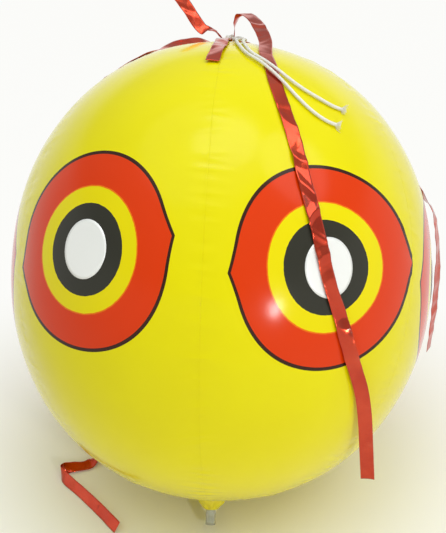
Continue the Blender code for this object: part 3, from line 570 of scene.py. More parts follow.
# The same film without print, on the small welded pieces: shows knocks and handling as dull patches
vinyl_plain = grained_finish(
    "calendered_pvc_film", "F0E20C", {"IOR": 1.54, "Coat Weight": 0.25, "Coat Roughness": 0.08},
    WELDED_FILM_GRAIN, 4.0, ("F4E612", "DCCB08"), (0.14, 0.34), (0.35, 0.0004),
)

# Silvered polyester foil, die cut and stuck on: a bright even grey with a soft sheen and tiny crinkles
foil, tree, shader = finish_material("silvered_polyester_foil", "F8F8F6", {
    "Metallic": 0.20,
})
place = node(tree, "ShaderNodeTexCoord")
crease = node(tree, "ShaderNodeTexVoronoi", {"feature": "DISTANCE_TO_EDGE"}, {
    "Vector": place.outputs["Object"], "Scale": FOIL_CRINKLE_GRAIN,
})
grain = node(tree, "ShaderNodeTexNoise", {}, {
    "Vector": place.outputs["Object"], "Scale": FOIL_SHEEN_GRAIN, "Detail": 3.0,
})
crease_bump = node(tree, "ShaderNodeBump", {}, {
    "Strength": 0.18, "Distance": 0.0004, "Height": crease.outputs["Distance"],
})
grain_bump = node(tree, "ShaderNodeBump", {}, {
    "Strength": 0.12, "Distance": 0.0002, "Height": grain, "Normal": crease_bump,
})
tree.links.new(grain_bump.outputs[0], shader.inputs["Normal"])
foil_tone = node(tree, "ShaderNodeMapRange", {}, {0: grain, 3: 0.28, 4: 0.42})
tree.links.new(foil_tone.outputs[0], shader.inputs["Roughness"])

# Metallised film lacquered red: a mirror under a tinted lacquer, so that it runs from near black to pale
# pink with the creases
film, tree, shader = finish_material("red_lacquered_metallised_film", "C01410", {
    "Metallic": 0.94, "Roughness": 0.15, "Coat Weight": 0.3, "Coat Roughness": 0.06, "Coat IOR": 1.55,
})
place = node(tree, "ShaderNodeTexCoord")
crumple = node(tree, "ShaderNodeTexVoronoi", {"feature": "DISTANCE_TO_EDGE"}, {
    "Vector": place.outputs["Object"], "Scale": FILM_CRUMPLE_GRAIN,
})
facet = node(tree, "ShaderNodeTexVoronoi", {"feature": "F1"}, {
    "Vector": place.outputs["Object"], "Scale": FILM_FACET_GRAIN,
})
facet_turn = node(tree, "ShaderNodeVectorMath", {"operation": "SUBTRACT"}, {
    0: facet.outputs["Color"], 1: (0.5, 0.5, 0.5),
})
facet_lean = node(tree, "ShaderNodeVectorMath", {"operation": "SCALE"}, {0: facet_turn, "Scale": 0.16})
fine = node(tree, "ShaderNodeTexNoise", {}, {
    "Vector": place.outputs["Object"], "Scale": FILM_FINE_GRAIN, "Detail": 4.0,
})
broad = node(tree, "ShaderNodeTexNoise", {}, {
    "Vector": place.outputs["Object"], "Scale": FILM_TONE_GRAIN, "Detail": 2.0,
})
tone = node(tree, "ShaderNodeMix", {"data_type": "RGBA"}, {
    0: broad, 6: colour("D8502F"), 7: colour("AC2A1A"),
})
tree.links.new(tone.outputs[2], shader.inputs["Base Color"])
crumple_bump = node(tree, "ShaderNodeBump", {}, {
    "Strength": 0.06, "Distance": 0.0010, "Height": crumple.outputs["Distance"],
})
fine_bump = node(tree, "ShaderNodeBump", {}, {
    "Strength": 0.08, "Distance": 0.0003, "Height": fine, "Normal": crumple_bump,
})
leaning = node(tree, "ShaderNodeVectorMath", {"operation": "ADD"}, {0: fine_bump, 1: facet_lean})
leaning_unit = node(tree, "ShaderNodeVectorMath", {"operation": "NORMALIZE"}, {0: leaning})
tree.links.new(leaning_unit.outputs[0], shader.inputs["Normal"])

# Braided cotton string: matt, a warm white mottled by a fine noise with a soft grey, which is painted shade
# standing for the hollows between its strands
string_white = grained_finish(
    "braided_cotton_string", "F4F2EA", {"Roughness": 0.85, "Sheen Weight": 0.3, "Sheen Roughness": 0.5},
    STRING_FIBRE_GRAIN, 2.0, ("FAF8F2", "DAD6CC"), None, (0.4, 0.0002),
)

# Clear flexible PVC, moulded: water-clear with a grey edge and faint haze
clear = grained_finish(
    "clear_moulded_pvc", "EEF0E8", {"IOR": 1.53, "Transmission Weight": 0.82},
    CLEAR_HAZE_GRAIN, 3.0, None, (0.06, 0.30), (0.25, 0.0003),
)


def panel_columns(polar):
    """Azimuths of a panel's columns from its open edge, each with its lift: even across the face, then the
    joggle down under the next panel and the tucked edge."""
    ring = ring_radius(polar)
    lap = SEAM_LAP / ring
    last = PANEL_ANGLE - SEAM_STEP / ring
    columns = [0.0, lap * 0.06, lap * 0.5, lap * 0.75]
    lifts = [0.0] * 4
    for step in np.linspace(0.0, 1.0, FACE_COLUMNS):
        columns.append(lap + (last - lap) * step)
        lifts.append(0.0)
    columns.insert(-1, last - SEAM_STEP / ring)
    lifts.append(0.0)
    for share in (0.0, 0.35, 0.7, 1.0):
        columns.append(PANEL_ANGLE + lap * share)
        lifts.append(-TUCK_DEPTH)
    return columns, lifts


for number in range(PANEL_COUNT):
    first = FIRST_SEAM_AZIMUTH + PANEL_ANGLE * number
    top = polar_at_ring(CROWN_OPENING_RADIUS)
    bottom = math.pi - polar_at_ring(VALVE_OPENING_RADIUS)
    polars = np.linspace(top, bottom, PANEL_ROWS)
    rows = [panel_columns(polar) for polar in polars]
    azimuths = np.array([row[0] for row in rows])
    lifts = np.array([row[1] for row in rows])
    grid = np.broadcast_to(polars[:, None], azimuths.shape)
    places = to_world(skin_point(azimuths + first, grid, lifts, creased=True)).reshape(-1, 3)
    panel = new_piece(
        "vinyl_panel_%d" % (number + 1), places, grid_faces(PANEL_ROWS, azimuths.shape[1]), vinyl_eye,
        "balloon", ["gore_panel_%d" % (number + 1)],
    )
    side_shift, rise_shift = PUPIL_SHIFTS[number]
    middle = PANEL_ANGLE / 2.0 + side_shift / BALLOON_RADIUS
    narrower, drawn, turned, print_shift = PRINT_SPREADS[number]
    level = (azimuths - middle - print_shift / BALLOON_RADIUS) * ring_radius(grid)
    upright = arc_from_crown(polar_at_height(rise_shift)) - arc_from_crown(grid)
    across = level * math.cos(turned) + upright * math.sin(turned)
    up = upright * math.cos(turned) - level * math.sin(turned)
    across = across * (1.0 + narrower - drawn * across / SPREAD_REACH)
    set_uv(panel.data, "print", np.stack([across, up], axis=-1).reshape(-1, 2))
    seam_across = azimuths * ring_radius(grid)
    set_uv(panel.data, "seam", np.stack([seam_across, arc_from_crown(grid)], axis=-1).reshape(-1, 2))
    add_wall(panel, PANEL_FILM, -1.0)

    reaches = np.repeat(np.linspace(1.0 / PUPIL_RINGS, 1.0, PUPIL_RINGS), PUPIL_SIDES) * PUPIL_RADIUS
    angles = np.tile(np.arange(PUPIL_SIDES) * (2.0 * math.pi / PUPIL_SIDES), PUPIL_RINGS)
    reaches = np.concatenate([[0.0], reaches])
    angles = np.concatenate([[0.0], angles])
    disc_azimuths = first + middle + reaches * PUPIL_NARROWING * np.cos(angles) / BALLOON_RADIUS
    disc_polars = polar_at_height(rise_shift + reaches * np.sin(angles))
    rumple = PUPIL_RUMPLE * (1.0 + np.sin(reaches * 900.0 + 3.0 * np.sin(angles * 3.0 + number)))
    places = to_world(skin_point(disc_azimuths, disc_polars, SEAT_CLEARANCE + rumple, creased=True))
    faces = [(0, 1 + side, 1 + (side + 1) % PUPIL_SIDES) for side in range(PUPIL_SIDES)]
    for ring in range(PUPIL_RINGS - 1):
        inner = 1 + ring * PUPIL_SIDES
        outer = inner + PUPIL_SIDES
        for side in range(PUPIL_SIDES):
            after = (side + 1) % PUPIL_SIDES
            faces.append((inner + side, outer + side, outer + after, inner + after))
    pupil = new_piece(
        "foil_pupil_%d" % (number + 1), places, faces, foil, "balloon",
        ["pupil_disc_%d" % (number + 1)],
    )
    add_wall(pupil, PUPIL_THICKNESS, 1.0)


def seal(mesh, merge):
    """Joins points that lie together, where asked, and turns every face outwards."""
    shell = bmesh.new()
    shell.from_mesh(mesh)
    if merge:
        bmesh.ops.remove_doubles(shell, verts=shell.verts, dist=MERGE_DISTANCE)
    bmesh.ops.recalc_face_normals(shell, faces=shell.faces)
    shell.to_mesh(mesh)
    shell.free()


def taken_mesh(holder):
    """The mesh that an object makes. The object itself goes."""
    bpy.context.view_layer.update()
    mesh = bpy.data.meshes.new_from_object(holder.evaluated_get(bpy.context.evaluated_depsgraph_get()))
    bpy.data.objects.remove(holder, do_unlink=True)
    return mesh


def turned_mesh(name, profile, steps, places_of, shape=None):
    """A closed profile of (radius, height) swept round its own axis, each point moved by the shape, and set
    in the world by places_of."""
    angles = np.arange(steps) * (2.0 * math.pi / steps)
    profile = np.array(profile)
    radius = profile[:, 0][None, :] * np.ones(steps)[:, None]
    height = profile[:, 1][None, :] * np.ones(steps)[:, None]
    turn = angles[:, None] * np.ones(len(profile))[None, :]
    if shape:
        radius, height = shape(radius, height, turn)
    local = np.stack([radius * np.cos(turn), radius * np.sin(turn), height], axis=-1).reshape(-1, 3)
    count = len(profile)
    faces = []
    for step in range(steps):
        after = (step + 1) % steps
        for index in range(count):
            ahead = (index + 1) % count
            faces.append((
                step * count + index, after * count + index, after * count + ahead, step * count + ahead,
            ))
    mesh = bpy.data.meshes.new(name)
    mesh.from_pydata([tuple(point) for point in places_of(local)], [], faces)
    seal(mesh, True)
    mesh.update()
    mesh.set_sharp_from_angle(angle=SHARP_ANGLE)
    return mesh


def finer(profile, step):
    """A closed profile with points added so that none are further apart than the step."""
    fine_profile = []
    for start, end in zip(profile, profile[1:] + profile[:1]):
        start = np.array(start)
        end = np.array(end)
        count = max(1, math.ceil(np.linalg.norm(end - start) / step))
        for index in range(count):
            fine_profile.append(start + (end - start) * index / count)
    return fine_profile


# Crown patch, its rim slightly puckered by the welding
patch_outer = []
patch_inner = []
for radius in np.linspace(0.0, CROWN_PATCH_RADIUS, 14):
    level = CROWN_Z - pole_drop(radius) + SEAT_CLEARANCE
    patch_inner.append((radius, level))
    patch_outer.append((radius, level + PATCH_THICKNESS))
patch_outer.insert(-1, (CROWN_PATCH_RADIUS - 0.0002, patch_outer[-1][1] + 0.00005))


def pucker_rim(radius, height, turn):
    """The rim's small waves, which only ever lift it."""
    share = np.clip(radius / CROWN_PATCH_RADIUS, 0.0, 1.0) ** 6
    wave = 0.00016 * share * (1.0 + np.sin(23.0 * turn + np.sin(4.0 * turn)))
    return radius, height + wave


mesh = turned_mesh("crown_disc", patch_outer + patch_inner[::-1], 96, to_world, pucker_rim)
piece_from_mesh("crown_disc", mesh, vinyl_plain, "balloon", ["crown_patch"])

# Hanging tab: a holed ear with a rolled edge, on its round foot
half = TAB_WIDTH / 2.0
shoulder = TAB_HEIGHT - half
top_of_foot = FOOT_Z + TAB_FOOT_THICKNESS
outline = [(-half, -TAB_FOOT_THICKNESS / 2.0), (half, -TAB_FOOT_THICKNESS / 2.0)]
for angle in np.linspace(0.0, math.pi, 29):
    outline.append((half * math.cos(angle), shoulder + half * math.sin(angle)))
hole = []
for angle in np.linspace(0.0, -2.0 * math.pi, 33)[:-1]:
    hole.append((TAB_HOLE_RADIUS * math.cos(angle), TAB_HOLE_HEIGHT + TAB_HOLE_RADIUS * math.sin(angle)))
curve = bpy.data.curves.new("hanging_tab", "CURVE")
curve.dimensions = "2D"
curve.fill_mode = "BOTH"
curve.extrude = TAB_THICKNESS / 2.0 - TAB_BEVEL
curve.bevel_depth = TAB_BEVEL
curve.bevel_resolution = 2
curve.offset = -TAB_BEVEL
for loop in (outline, hole):
    spline = curve.splines.new("POLY")
    spline.points.add(len(loop) - 1)
    for point, (x, y) in zip(spline.points, loop):
        point.co = (x, y, 0.0, 1.0)
    spline.use_cyclic_u = True
ear_mesh = taken_mesh(linked_object("hanging_tab_outline", curve))
ear_mesh.transform(Matrix.Translation((0.0, 0.0, top_of_foot)) @ Matrix.Rotation(math.pi / 2.0, 4, "X"))
foot_profile = [
    (0.0, top_of_foot),
    (TAB_FOOT_RADIUS - 0.0003, top_of_foot),
    (TAB_FOOT_RADIUS, top_of_foot - 0.0003),
    (TAB_FOOT_RADIUS, FOOT_Z),
    (0.0, FOOT_Z),
]
foot_mesh = turned_mesh("tab_foot", foot_profile, 64, lambda local: local)
joined = bmesh.new()
joined.from_mesh(ear_mesh)
joined.from_mesh(foot_mesh)
bmesh.ops.remove_doubles(joined, verts=joined.verts, dist=MERGE_DISTANCE)
bmesh.ops.recalc_face_normals(joined, faces=joined.faces)
for point in joined.verts:
    point.co = Vector(to_world(np.array(point.co)))
mesh = bpy.data.meshes.new("hanging_tab")
joined.to_mesh(mesh)
joined.free()
mesh.set_sharp_from_angle(angle=SHARP_ANGLE)
piece_from_mesh("hanging_tab", mesh, vinyl_plain, "balloon", ["hang_tab"])


def smooth_route(points, step):
    """Places along the smooth curve through a route's own points, about a step apart."""
    places = [np.array(point, float) for point in points]
    lengths, tangents = route_tangents(places)
    smooth = []
    for index in range(len(places) - 1):
        span = lengths[index + 1] - lengths[index]
        count = max(1, round(span / step))
        for number in range(count + (index == len(places) - 2)):
            smooth.append(hermite(places, tangents, index, span, number / count))
    return np.array(smooth)


def route_tangents(places):
    """Cumulative lengths along the stations, and the run's direction at each."""
    lengths = [0.0]
    for before, after in zip(places, places[1:]):
        lengths.append(lengths[-1] + np.linalg.norm(after - before))
    tangents = []
    last = len(places) - 1
    for index in range(len(places)):
        low = max(index - 1, 0)
        high = min(index + 1, last)
        tangents.append((places[high] - places[low]) / (lengths[high] - lengths[low]))
    return lengths, tangents


def hermite(places, tangents, index, span, t):
    """A place between two stations."""
    return (
        places[index] * (2 * t ** 3 - 3 * t ** 2 + 1)
        + tangents[index] * (span * (t ** 3 - 2 * t ** 2 + t))
        + places[index + 1] * (3 * t ** 2 - 2 * t ** 3)
        + tangents[index + 1] * (span * (t ** 3 - t ** 2))
    )


def braided_tube(name, path, closed):
    """A tube of eight plaited strands along a path, open at no end."""
    count = len(path)
    if closed:
        tangents = np.roll(path, -1, axis=0) - np.roll(path, 1, axis=0)
    else:
        tangents = np.gradient(path, axis=0)
    tangents = unit_rows(tangents)
    side = np.cross(tangents[0], (0.0, 0.0, 1.0))
    if np.linalg.norm(side) < 0.1:
        side = np.cross(tangents[0], (0.0, 1.0, 0.0))
    angles = np.arange(STRING_SIDES) * (2.0 * math.pi / STRING_SIDES)
    steps = np.linalg.norm(np.diff(path, axis=0), axis=1)
    run = np.concatenate([[0.0], np.cumsum(steps)])
    total = run[-1] + (np.linalg.norm(path[0] - path[-1]) if closed else 0.0)
    turns = max(1, round(total / PLAIT_PITCH)) if closed else total / PLAIT_PITCH
    points = []
    for index in range(count):
        tangent = tangents[index]
        side = side - tangent * side.dot(tangent)
        side /= np.linalg.norm(side)
        up = np.cross(tangent, side)
        phase = 2.0 * math.pi * turns * run[index] / total
        plait = np.maximum(np.cos(4.0 * angles + 2.0 * phase), np.cos(4.0 * angles - 2.0 * phase))
        radius = STRING_RADIUS * (0.92 + 0.08 * plait)
        points.append(
            path[index] + side * (np.cos(angles) * radius)[:, None] + up * (np.sin(angles) * radius)[:, None]
        )
    points = np.concatenate(points)
    faces = grid_faces(count, STRING_SIDES, closed=True)
    if closed:
        last = points[(count - 1) * STRING_SIDES:]
        gaps = [np.linalg.norm(last[0] - points[k]) for k in range(STRING_SIDES)]
        drift = int(np.argmin(gaps))
        for c in range(STRING_SIDES):
            faces.append((
                (count - 1) * STRING_SIDES + c, (c + drift) % STRING_SIDES, (c + 1 + drift) % STRING_SIDES,
                (count - 1) * STRING_SIDES + (c + 1) % STRING_SIDES,
            ))
    else:
        faces.append(tuple(range(STRING_SIDES)))
        faces.append(tuple(range((count - 1) * STRING_SIDES, count * STRING_SIDES))[::-1])
    mesh = bpy.data.meshes.new(name)
    mesh.from_pydata([tuple(point) for point in points], [], faces)
    seal(mesh, False)
    return mesh


def ring_path(centre, radius, turn):
    """Places round a turn of the string about the ball frame's X, swung about its Z."""
    angles = np.arange(KNOT_STEPS) * (2.0 * math.pi / KNOT_STEPS)
    local = np.stack([0.0 * angles, np.cos(angles) * radius, np.sin(angles) * radius], axis=-1)
    swing = np.array(Matrix.Rotation(turn, 3, "Z"))
    return to_world(local @ swing.T + centre)


# The knot: a loop through the tab and two wraps round the streamers' waist
step = np.array((WRAP_PITCH / 2.0, 0.0, 0.0))
knot_rings = [
    ring_path(KNOT - step, WRAP_RADIUS, WRAP_TILT),
    ring_path(KNOT + step, WRAP_RADIUS, -WRAP_TILT),
    ring_path(np.array((0.0, 0.0, TAB_HOLE_Z + LOOP_RADIUS)), LOOP_RADIUS, LOOP_SWING),
]
knot_mesh = bmesh.new()
for number, path in enumerate(knot_rings):
    part = braided_tube("knot_turn_%d" % number, path, True)
    knot_mesh.from_mesh(part)
    bpy.data.meshes.remove(part)
mesh = bpy.data.meshes.new("string_knot_turns")
knot_mesh.to_mesh(mesh)
knot_mesh.free()
piece_from_mesh("string_knot_turns", mesh, string_white, "balloon", ["string_knot"])

# The string's two tails over the ball: places in metres in the world
UPPER_STRAND_ROUTE = [
    (0.0109, 0.1267, 0.4062),
    (0.0124, 0.1264, 0.4063),
    (0.0159, 0.1227, 0.4077),
    (0.0178, 0.1168, 0.4100),
    (0.0233, 0.1031, 0.4120),
    (0.0226, 0.0849, 0.4181),
    (0.0209, 0.0638, 0.4240),
    (0.0225, 0.0393, 0.4276),
    (0.0280, 0.0186, 0.4279),
    (0.0375, 0.0049, 0.4264),
    (0.0477, -0.0068, 0.4228),
    (0.0579, -0.0166, 0.4176),
    (0.0694, -0.0238, 0.4113),
    (0.0821, -0.0282, 0.4048),
    (0.0945, -0.0295, 0.3980),
    (0.1067, -0.0262, 0.3918),
]
LOWER_STRAND_ROUTE = [
    (0.0107, 0.1256, 0.4028),
    (0.0119, 0.1251, 0.4029),
    (0.0135, 0.1191, 0.4071),
    (0.0140, 0.1131, 0.4095),
    (0.0184, 0.1000, 0.4132),
    (0.0160, 0.0824, 0.4193),
    (0.0144, 0.0624, 0.4248),
    (0.0171, 0.0380, 0.4281),
    (0.0235, 0.0161, 0.4283),
    (0.0343, 0.0008, 0.4265),
    (0.0438, -0.0118, 0.4227),
    (0.0539, -0.0251, 0.4167),
    (0.0648, -0.0380, 0.4086),
    (0.0762, -0.0473, 0.4005),
    (0.0880, -0.0508, 0.3932),
    (0.1001, -0.0495, 0.3875),
]

# Frayed ends: the plait's yarns let go of each other and fan out
fray = bpy.data.node_groups.new("fray", "GeometryNodeTree")
for label, kind, value in (
    ("Fibres", "NodeSocketInt", 70),
    ("Length", "NodeSocketFloat", 0.0062),
    ("Spread", "NodeSocketFloat", 0.62),
    ("Core", "NodeSocketFloat", 0.0011),
    ("Thickness", "NodeSocketFloat", 0.00011),
    ("Seed", "NodeSocketInt", None),
    ("Yarn", "NodeSocketMaterial", None),
):
    socket = fray.interface.new_socket(label, in_out="INPUT", socket_type=kind)
    if value is not None:
        socket.default_value = value
fray.interface.new_socket("Geometry", in_out="OUTPUT", socket_type="NodeSocketGeometry")
given = node(fray, "NodeGroupInput")
roots = node(fray, "GeometryNodePoints", {}, {"Count": given.outputs["Fibres"]})
spin = node(fray, "FunctionNodeRandomValue", {"data_type": "FLOAT"}, {
    2: 0.0, 3: 2.0 * math.pi, "Seed": given.outputs["Seed"],
})
out_share = node(fray, "FunctionNodeRandomValue", {"data_type": "FLOAT"}, {2: 0.0, 3: 1.0, "Seed": 17})
root_reach = node(fray, "ShaderNodeMath", {"operation": "MULTIPLY"}, {
    0: out_share.outputs[1], 1: given.outputs["Core"],
})
root_cos = node(fray, "ShaderNodeMath", {"operation": "COSINE"}, {0: spin.outputs[1]})
root_sin = node(fray, "ShaderNodeMath", {"operation": "SINE"}, {0: spin.outputs[1]})
root_x = node(fray, "ShaderNodeMath", {"operation": "MULTIPLY"}, {0: root_cos, 1: root_reach})
root_y = node(fray, "ShaderNodeMath", {"operation": "MULTIPLY"}, {0: root_sin, 1: root_reach})
root_place = node(fray, "ShaderNodeCombineXYZ", {}, {0: root_x, 1: root_y})
tip_bend = node(fray, "ShaderNodeMath", {"operation": "MULTIPLY"}, {
    0: out_share.outputs[1], 1: given.outputs["Spread"],
})
turn = node(fray, "ShaderNodeCombineXYZ", {}, {1: tip_bend, 2: spin.outputs[1]})
turn_as = node(fray, "FunctionNodeEulerToRotation", {}, {0: turn})
size = node(fray, "FunctionNodeRandomValue", {"data_type": "FLOAT"}, {2: 0.55, 3: 1.0, "Seed": 29})
set_roots = node(fray, "GeometryNodeSetPosition", {}, {0: roots, "Position": root_place})
line_end = node(fray, "ShaderNodeCombineXYZ", {}, {2: given.outputs["Length"]})
line = node(fray, "GeometryNodeCurvePrimitiveLine", {}, {"End": line_end})
bent = node(fray, "GeometryNodeResampleCurve", {}, {"Curve": line, "Count": 8})
placed = node(fray, "GeometryNodeInstanceOnPoints", {}, {
    "Points": set_roots, "Instance": bent, "Rotation": turn_as,
    "Scale": size.outputs[1],
})
fibres = node(fray, "GeometryNodeRealizeInstances", {}, {0: placed})
share_along = node(fray, "GeometryNodeSplineParameter")
free = node(fray, "ShaderNodeMath", {"operation": "POWER"}, {0: share_along.outputs["Factor"], 1: 1.6})
here = node(fray, "GeometryNodeInputPosition")
curl = node(fray, "ShaderNodeTexNoise", {}, {"Vector": here, "Scale": TUFT_CURL_GRAIN, "Detail": 1.0})
curl_centre = node(fray, "ShaderNodeVectorMath", {"operation": "SUBTRACT"}, {
    0: curl.outputs["Color"], 1: (0.5, 0.5, 0.5),
})
curl_reach = node(fray, "ShaderNodeMath", {"operation": "MULTIPLY"}, {0: free, 1: 0.009})
curl_move = node(fray, "ShaderNodeVectorMath", {"operation": "SCALE"}, {0: curl_centre, "Scale": curl_reach})
curled = node(fray, "GeometryNodeSetPosition", {}, {0: fibres, "Offset": curl_move})
round_section = node(fray, "GeometryNodeCurvePrimitiveCircle", {}, {
    "Resolution": 5, "Radius": given.outputs["Thickness"],
})
tubes = node(fray, "GeometryNodeCurveToMesh", {}, {
    "Curve": curled, "Profile Curve": round_section, "Fill Caps": True,
})
coloured = node(fray, "GeometryNodeSetMaterial", {}, {0: tubes, "Material": given.outputs["Yarn"]})
node(fray, "NodeGroupOutput", {}, {0: coloured})


def made_by(tree, values):
    """The mesh that a node tree makes with these inputs."""
    holder = linked_object("holder", bpy.data.meshes.new("holder"))
    maker = holder.modifiers.new("Maker", "NODES")
    maker.node_group = tree
    for item in tree.interface.items_tree:
        if item.in_out == "INPUT" and item.name in values:
            maker[item.identifier] = values[item.name]
    return taken_mesh(holder)


for name, route, seed in (("upper", UPPER_STRAND_ROUTE, 5), ("lower", LOWER_STRAND_ROUTE, 8)):
    path = smooth_route(route, 0.0006)[:-6]
    mesh = braided_tube("string_tail_%s" % name, path, False)
    tail = piece_from_mesh(
        "string_tail_%s" % name, mesh, string_white, "front_streamer", ["string_strand_%s" % name]
    )
    tuft = made_by(fray, {"Seed": seed, "Yarn": string_white})
    heading = Vector(path[-1] - path[-4]).normalized()
    turn_to = heading.to_track_quat("Z", "Y").to_matrix().to_4x4()
    tuft.transform(Matrix.Translation(Vector(path[-1]) - heading * 0.0012) @ turn_to)
    tuft_piece = piece_from_mesh(
        "string_fray_%s" % name, tuft, string_white, "front_streamer", []
    )

# The streamers' waist, pinched into pleats by the wraps
waist_profile = []
half_neck = GATHER_NECK_LENGTH / 2.0
for share in np.linspace(0.0, 1.0, 25):
    along = (share - 0.5) * GATHER_LENGTH
    pinch = np.clip((abs(along) - half_neck) / (GATHER_LENGTH / 2.0 - half_neck), 0, 1)
    waist_profile.append((GATHER_NECK_RADIUS + (GATHER_RADIUS - GATHER_NECK_RADIUS) * pinch, along))
waist_profile = [(0.0, -GATHER_LENGTH / 2.0)] + waist_profile + [(0.0, GATHER_LENGTH / 2.0)]


def pleat_waist(radius, height, turn):
    """Lengthwise pleats, deepest at the two open ends."""
    depth = 0.14 * np.sin(9.0 * turn + 2.0 * np.sin(2.0 * turn)) - 0.10
    return radius * (1.0 + depth), height


def waist_place(local):
    """The waist lies along the ball frame's X, through the knot."""
    return to_world(np.stack([local[:, 2], local[:, 1], -local[:, 0]], axis=-1) + KNOT)


mesh = turned_mesh("film_waist", waist_profile, 72, waist_place, pleat_waist)
piece_from_mesh("film_waist", mesh, film, "balloon", ["streamer_gather"])

# Where each streamer leaves the waist, and its route: as the solids have it, but the left one lies a little
# further back on the ball. Each row is a place and its width's direction, on the skin an azimuth, a polar
# angle, a lift in widths and a turn.
FRONT_START_SHARES = (1.0, 0.50, 0.80)
RIGHT_START_SHARES = (1.0, 1.00, -1.10)
LEFT_START_SHARES = (-1.0, 0.20, -0.70)
BACK_START_SHARES = (-1.0, -0.20, 0.70)
FRONT_ROUTE_SHARES = [
    ("AIR", [
        (0, 0, 0, 0, 1, 0), (0.02, -0.08, 0.3, 0, 1, 0), (0.07, -0.2, 0.58, 0.1, 1, 0),
        (0.22, -0.44, 0.7, 0.3, 1, 0.2), (0.47, -0.92, 0.49, 0.7, 0.7, 0.4),
        (0.7, -1.58, 0.02, 0.9, 0.3, 0.4), (0.88, -2.4, -0.64, 1, 0.1, 0.3),
    ]),
    ("SKIN", [
        (14.6, 32, 0.16, 0), (14.2, 38, 0.07, 0), (13.6, 46, 0.07, 0), (14.6, 56, 0.09, 0),
        (16.3, 65.5, 0.07, 0), (17.8, 74, 0.09, 0), (20.4, 83.5, 0.13, 0), (23.8, 93, 0.13, 0),
        (27.4, 99.5, 0.16, 5), (31, 106.5, 0.46, 38),
    ]),
    ("HANG", [
        (0.545, -0.885, 0.06, 0.9, 0.3, 0), (0.578, -0.885, -0.05, 1, 0.1, 0),
        (0.602, -0.88, -0.18, 1, 0, 0), (0.62, -0.875, -0.34, 1, -0.1, 0),
        (0.642, -0.868, -0.548, 1, -0.2, 0),
    ]),
]
RIGHT_ROUTE_SHARES = [
    ("AIR", [
        (0, 0, 0, 0, 1, 0), (0.3, 0.12, 0.02, 0, 1, 0), (0.74, 0.46, -0.02, 0, 1, 0),
    ]),
    ("SKIN", [
        (100, 15, 0.36, 0), (97, 26, 0.2, 0), (95, 37, 0.12, 0), (94, 48, 0.1, 0), (92, 59, 0.14, 0),
        (88, 69, 0.34, 0),
    ]),
    ("HANG", [
        (1.006, 0.06, 0.29, 0.2, 1, 0), (1.04, 0.04, 0.13, 0.4, 0.9, 0), (1.056, 0.034, -0.05, 0.6, 0.8, 0),
        (1.06, 0.032, -0.26, 0.6, 0.8, 0), (1.056, 0.024, -0.48, 0.5, 0.9, 0),
    ]),
]
LEFT_ROUTE_SHARES = [
    ("AIR", [
        (0, 0, 0, 0, 1, 0), (-0.22, 0.02, -0.06, 0, 1, 0.2), (-0.8, 0, -0.04, 0, 0.7, 0.7),
        (-1.45, -0.12, -0.2, 0, 0.7, 0.7),
    ]),
    ("SKIN", [
        (-79, 23.5, 0.22, 10), (-82, 33, 0.1, 0), (-88, 44, 0.1, 0), (-95, 55, 0.1, 0), (-103, 66, 0.12, 0),
        (-110.5, 75, 0.24, 0),
    ]),
    ("HANG", [
        (-0.915, 0.45, -0.06, 0.6, 0.8, 0), (-0.905, 0.45, -0.28, 0.7, 0.7, 0),
        (-0.895, 0.44, -0.56, 0.8, 0.6, 0), (-0.885, 0.41, -0.85, 0.9, 0.4, 0),
    ]),
    ("FLOOR", [
        (-0.881, 0.385, 1.05, 1, 0.1, 0), (-0.872, 0.335, 0.3, 1, 0.1, 0), (-0.854, 0.265, 0.08, 1, 0.1, 0),
        (-0.812, 0.14, 0.06, 1, 0.2, 0), (-0.725, -0.03, 0.12, 0.9, 0.4, 0),
        (-0.652, -0.13, 0.36, 0.6, 0.5, 0.5), (-0.69, -0.205, 0.2, -0.3, 0.9, 0.15),
        (-0.765, -0.232, 0.33, -0.3, 0.9, 0.3), (-0.822, -0.268, 0.52, 0.1, 0.7, 0.7),
        (-0.79, -0.33, 0.52, 0.4, 0.4, 0.9), (-0.7, -0.43, 0.5, 0.4, 0.4, 0.9),
        (-0.605, -0.54, 0.48, 0.4, 0.4, 0.8), (-0.5, -0.672, 0.46, 0.4, 0.4, 0.7),
    ]),
]
BACK_ROUTE_SHARES = [
    ("AIR", [
        (0, 0, 0, 0, 1, 0), (-0.12, 0.03, 0.12, 0, 1, 0), (-0.36, 0.24, 0.34, 0.4, 0.8, 0.3),
        (-0.62, 0.34, 0.36, 0.5, 0.3, 0.8), (-0.84, 0.38, 0.58, 0.8, 0.1, 0.6),
        (-1.16, 0.4, 1.04, 0.8, 0.2, 0.6), (-1.52, 0.42, 1.5, 0.8, 0, 0.6),
        (-1.86, 0.38, 1.86, 0.8, 0.2, 0.5),
    ]),
]
TAIL_ROUTE_SHARES = [
    ("AIR", [
        (0, 0, 0, 1, -0.2, 0), (-0.04, -0.22, -0.06, 1, -0.2, 0.1),
    ]),
    ("SKIN", [
        (-13, 8, 0.3, 10), (-9.5, 14, 0.14, -6), (-8, 20, 0.26, 8), (-7.5, 26, 0.16, -8), (-8, 32, 0.24, 8),
        (-8.5, 38.5, 0.2, -4),
    ]),
]


def gather_start(shares):
    """Where a streamer begins, just off an end of the waist."""
    end, side, up = shares
    reach = GATHER_LENGTH / 2.0 + SEAT_CLEARANCE + STREAMER_FILM / 2.0
    return KNOT + np.array((end * reach, side * GATHER_RADIUS, up * GATHER_RADIUS))


def station_place(kind, numbers, start):
    """A station's place in the ball's frame, and the outward direction of what it lies on."""
    if kind == "AIR":
        return start + np.array(numbers) * ARCH_SPAN, None
    if kind == "SKIN":
        azimuth, polar = math.radians(numbers[0]), math.radians(numbers[1])
        return skin_point(azimuth, polar, numbers[2] * STREAMER_WIDTH), skin_normal(azimuth, polar)
    if kind == "HANG":
        return TILT.T @ (np.array(numbers) * BALLOON_RADIUS), None
    across = np.array((numbers[0], numbers[1], 0.0)) * BALLOON_RADIUS
    return TILT.T @ (across + np.array((0.0, 0.0, numbers[2] * STREAMER_WIDTH - BALLOON_CENTRE[2]))), None


